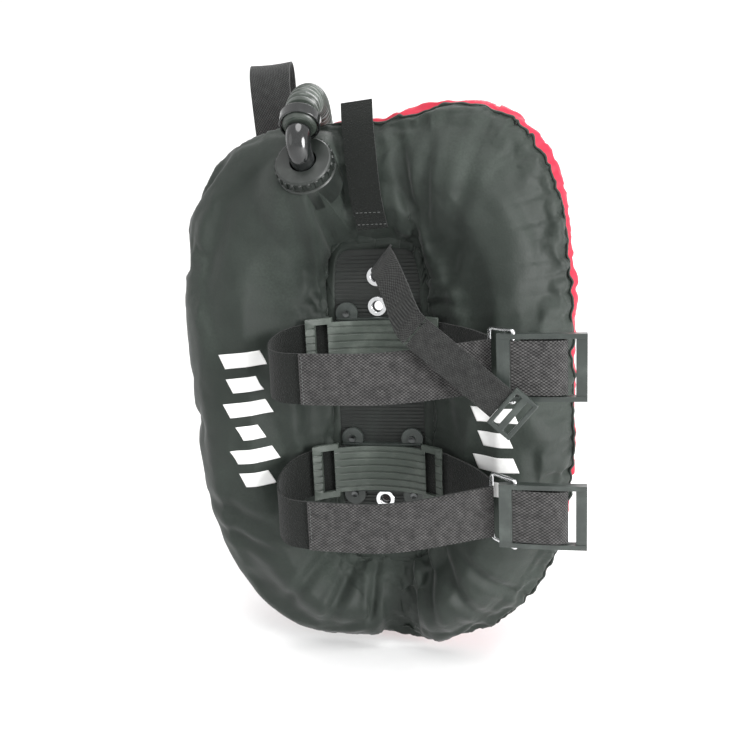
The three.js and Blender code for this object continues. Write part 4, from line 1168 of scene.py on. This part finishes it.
# %% Port and inflator
HARD_PIECES = [
    ("port_seat", "port_flange", SATIN_PLASTIC, "black_plastic", 0.0008, 60.0),
    ("port_collar", "port_ring", SATIN_PLASTIC, "black_plastic", 0.0005, 40.0),
    ("port_pipe", "port_elbow", GLOSS_PLASTIC, "black_plastic", 0.0006, 80.0),
    ("hose_band_port", "hose_clamp_port", GLOSS_PLASTIC, "black_plastic", 0.0006, 60.0),
    ("hose_band_inflator", "hose_clamp_inflator", GLOSS_PLASTIC, "black_plastic", 0.0006, 60.0),
    ("inflator_housing", "inflator_body", GLOSS_PLASTIC, "black_plastic", 0.0009, 60.0),
    ("inflator_red_button", "inflate_button", RED_PLASTIC, "red_plastic", 0.0006, 60.0),
    ("inflator_red_button_stem", "inflate_button_stem", STEEL, "steel", 0.0002, 60.0),
    ("inflator_vent_button", "deflate_button", GLOSS_PLASTIC, "black_plastic", 0.0006, 60.0),
    ("inflator_vent_button_stem", "deflate_button_stem", STEEL, "steel", 0.0002, 60.0),
    ("inflator_mouthpiece", "mouthpiece", HOSE_RUBBER, "hose_rubber", 0.0008, 60.0),
    ("inflator_nipple", "gas_nipple", STEEL, "steel", 0.0005, 60.0),
    ("vent_valve", "dump_valve_base", GLOSS_PLASTIC, "black_plastic", 0.0009, 60.0),
    ("vent_valve_pull", "dump_valve_plunger", RED_PLASTIC, "red_plastic", 0.0006, 60.0),
    ("harness_plate", "backplate", PLATE_COAT, "plate_metal", 0.0009, 30.0),
    ("left_ring_slide", "d_ring_slide_left", BUCKLE_PLASTIC, "buckle_plastic", 0.0006, 40.0),
    ("right_ring_slide", "d_ring_slide_right", BUCKLE_PLASTIC, "buckle_plastic", 0.0006, 40.0),
    ("waist_plate", "waist_buckle_frame", STEEL, "steel", 0.0006, 40.0),
    ("waist_flap_plate", "waist_buckle_flap", STEEL, "steel", 0.0006, 40.0),
]
for name, node, finish, slot, width, smooth_angle in HARD_PIECES:
    rounded(name, node, finish, width, 2, 42.0, smooth_angle)
for side in ("left", "right"):
    node = f"d_ring_{side}"
    settle(f"{side}_lifting_ring", borrow(node), STEEL, node, (node,), 80.0)
print("hard pieces:", len(HARD_PIECES))

# %% Grips round the collar
GRIP_COUNT = 22
COLLAR_RADIUS = 0.0285
GRIP_SIZE = Vector((0.0030, 0.0036, 0.0088))
GRIP_HEIGHT = 0.0098
bm = bmesh.new()
for index in range(GRIP_COUNT):
    made = bmesh.ops.create_cube(bm, size=1.0)["verts"]
    for vert in made:
        vert.co = vert.co * GRIP_SIZE + Vector((COLLAR_RADIUS, 0, GRIP_HEIGHT))
    bmesh.ops.rotate(bm, verts=made, cent=(0, 0, 0),
                     matrix=turned_about((0, 0, 1), 360 * index / GRIP_COUNT))
bmesh.ops.bevel(bm, geom=bm.edges[:], offset=0.0005, segments=2, profile=0.5, affect="EDGES", material=-1)
bmesh.ops.rotate(bm, verts=bm.verts, cent=(0, 0, 0), matrix=PORT_AXIS.to_track_quat("Z", "X").to_matrix())
bmesh.ops.translate(bm, verts=bm.verts, vec=PORT_PLACE)
settle("collar_grips", bm, SATIN_PLASTIC, BODY_OF["port_ring"], (), 40.0)
print("grips:", GRIP_COUNT)

# %% [markdown]

# %% [markdown]
# ## Small things
# A cloth tag is sewn into the seam, and two wing nuts hold the plate, the wing and the panel
# together through the top and bottom eyelets.

# %% Seam tag and wing nuts
bm = bmesh.new()
tag = bmesh.ops.create_cube(bm, size=1.0)["verts"]
for vert in tag:
    vert.co = Vector((-0.1905 + vert.co.x * 0.010, -0.006 + vert.co.y * 0.0016, -0.106 + vert.co.z * 0.026))
bmesh.ops.rotate(bm, verts=bm.verts, cent=(-0.19, -0.006, -0.106), matrix=turned_about((0, 1, 0), -14))
bmesh.ops.bevel(bm, geom=bm.edges[:], offset=0.0005, segments=2, profile=0.5, affect="EDGES", material=-1)
settle("seam_tag", bm, BLACK_CLOTH, "vest")
plate_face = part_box("backplate")[0].y + 0.003
for name, height in (("top", 0.1397), ("bottom", -0.1397)):
    bm = bmesh.new()
    bmesh.ops.create_cone(bm, cap_ends=True, segments=24, radius1=0.0085, radius2=0.006, depth=0.008)
    for turn in (-1, 1):
        wing = bmesh.ops.create_cube(bm, size=1.0)["verts"]
        for vert in wing:
            vert.co = Vector((
                turn * 0.0095 + vert.co.x * 0.012, vert.co.y * 0.0026, 0.004 + vert.co.z * 0.009))
            vert.co.z += abs(vert.co.x) * 0.35
    bmesh.ops.rotate(bm, verts=bm.verts, cent=(0, 0, 0), matrix=turned_about((1, 0, 0), -90))
    bmesh.ops.translate(bm, verts=bm.verts, vec=(0, plate_face + 0.0042, height))
    bmesh.ops.bevel(bm, geom=[e for e in bm.edges if e.calc_face_angle(0) > 0.8], offset=0.0006, segments=2,
                    profile=0.5, affect="EDGES", material=-1)
    settle(f"{name}_wing_nut", bm, STEEL, "vest", (), 40.0)
print("tag and nuts made")
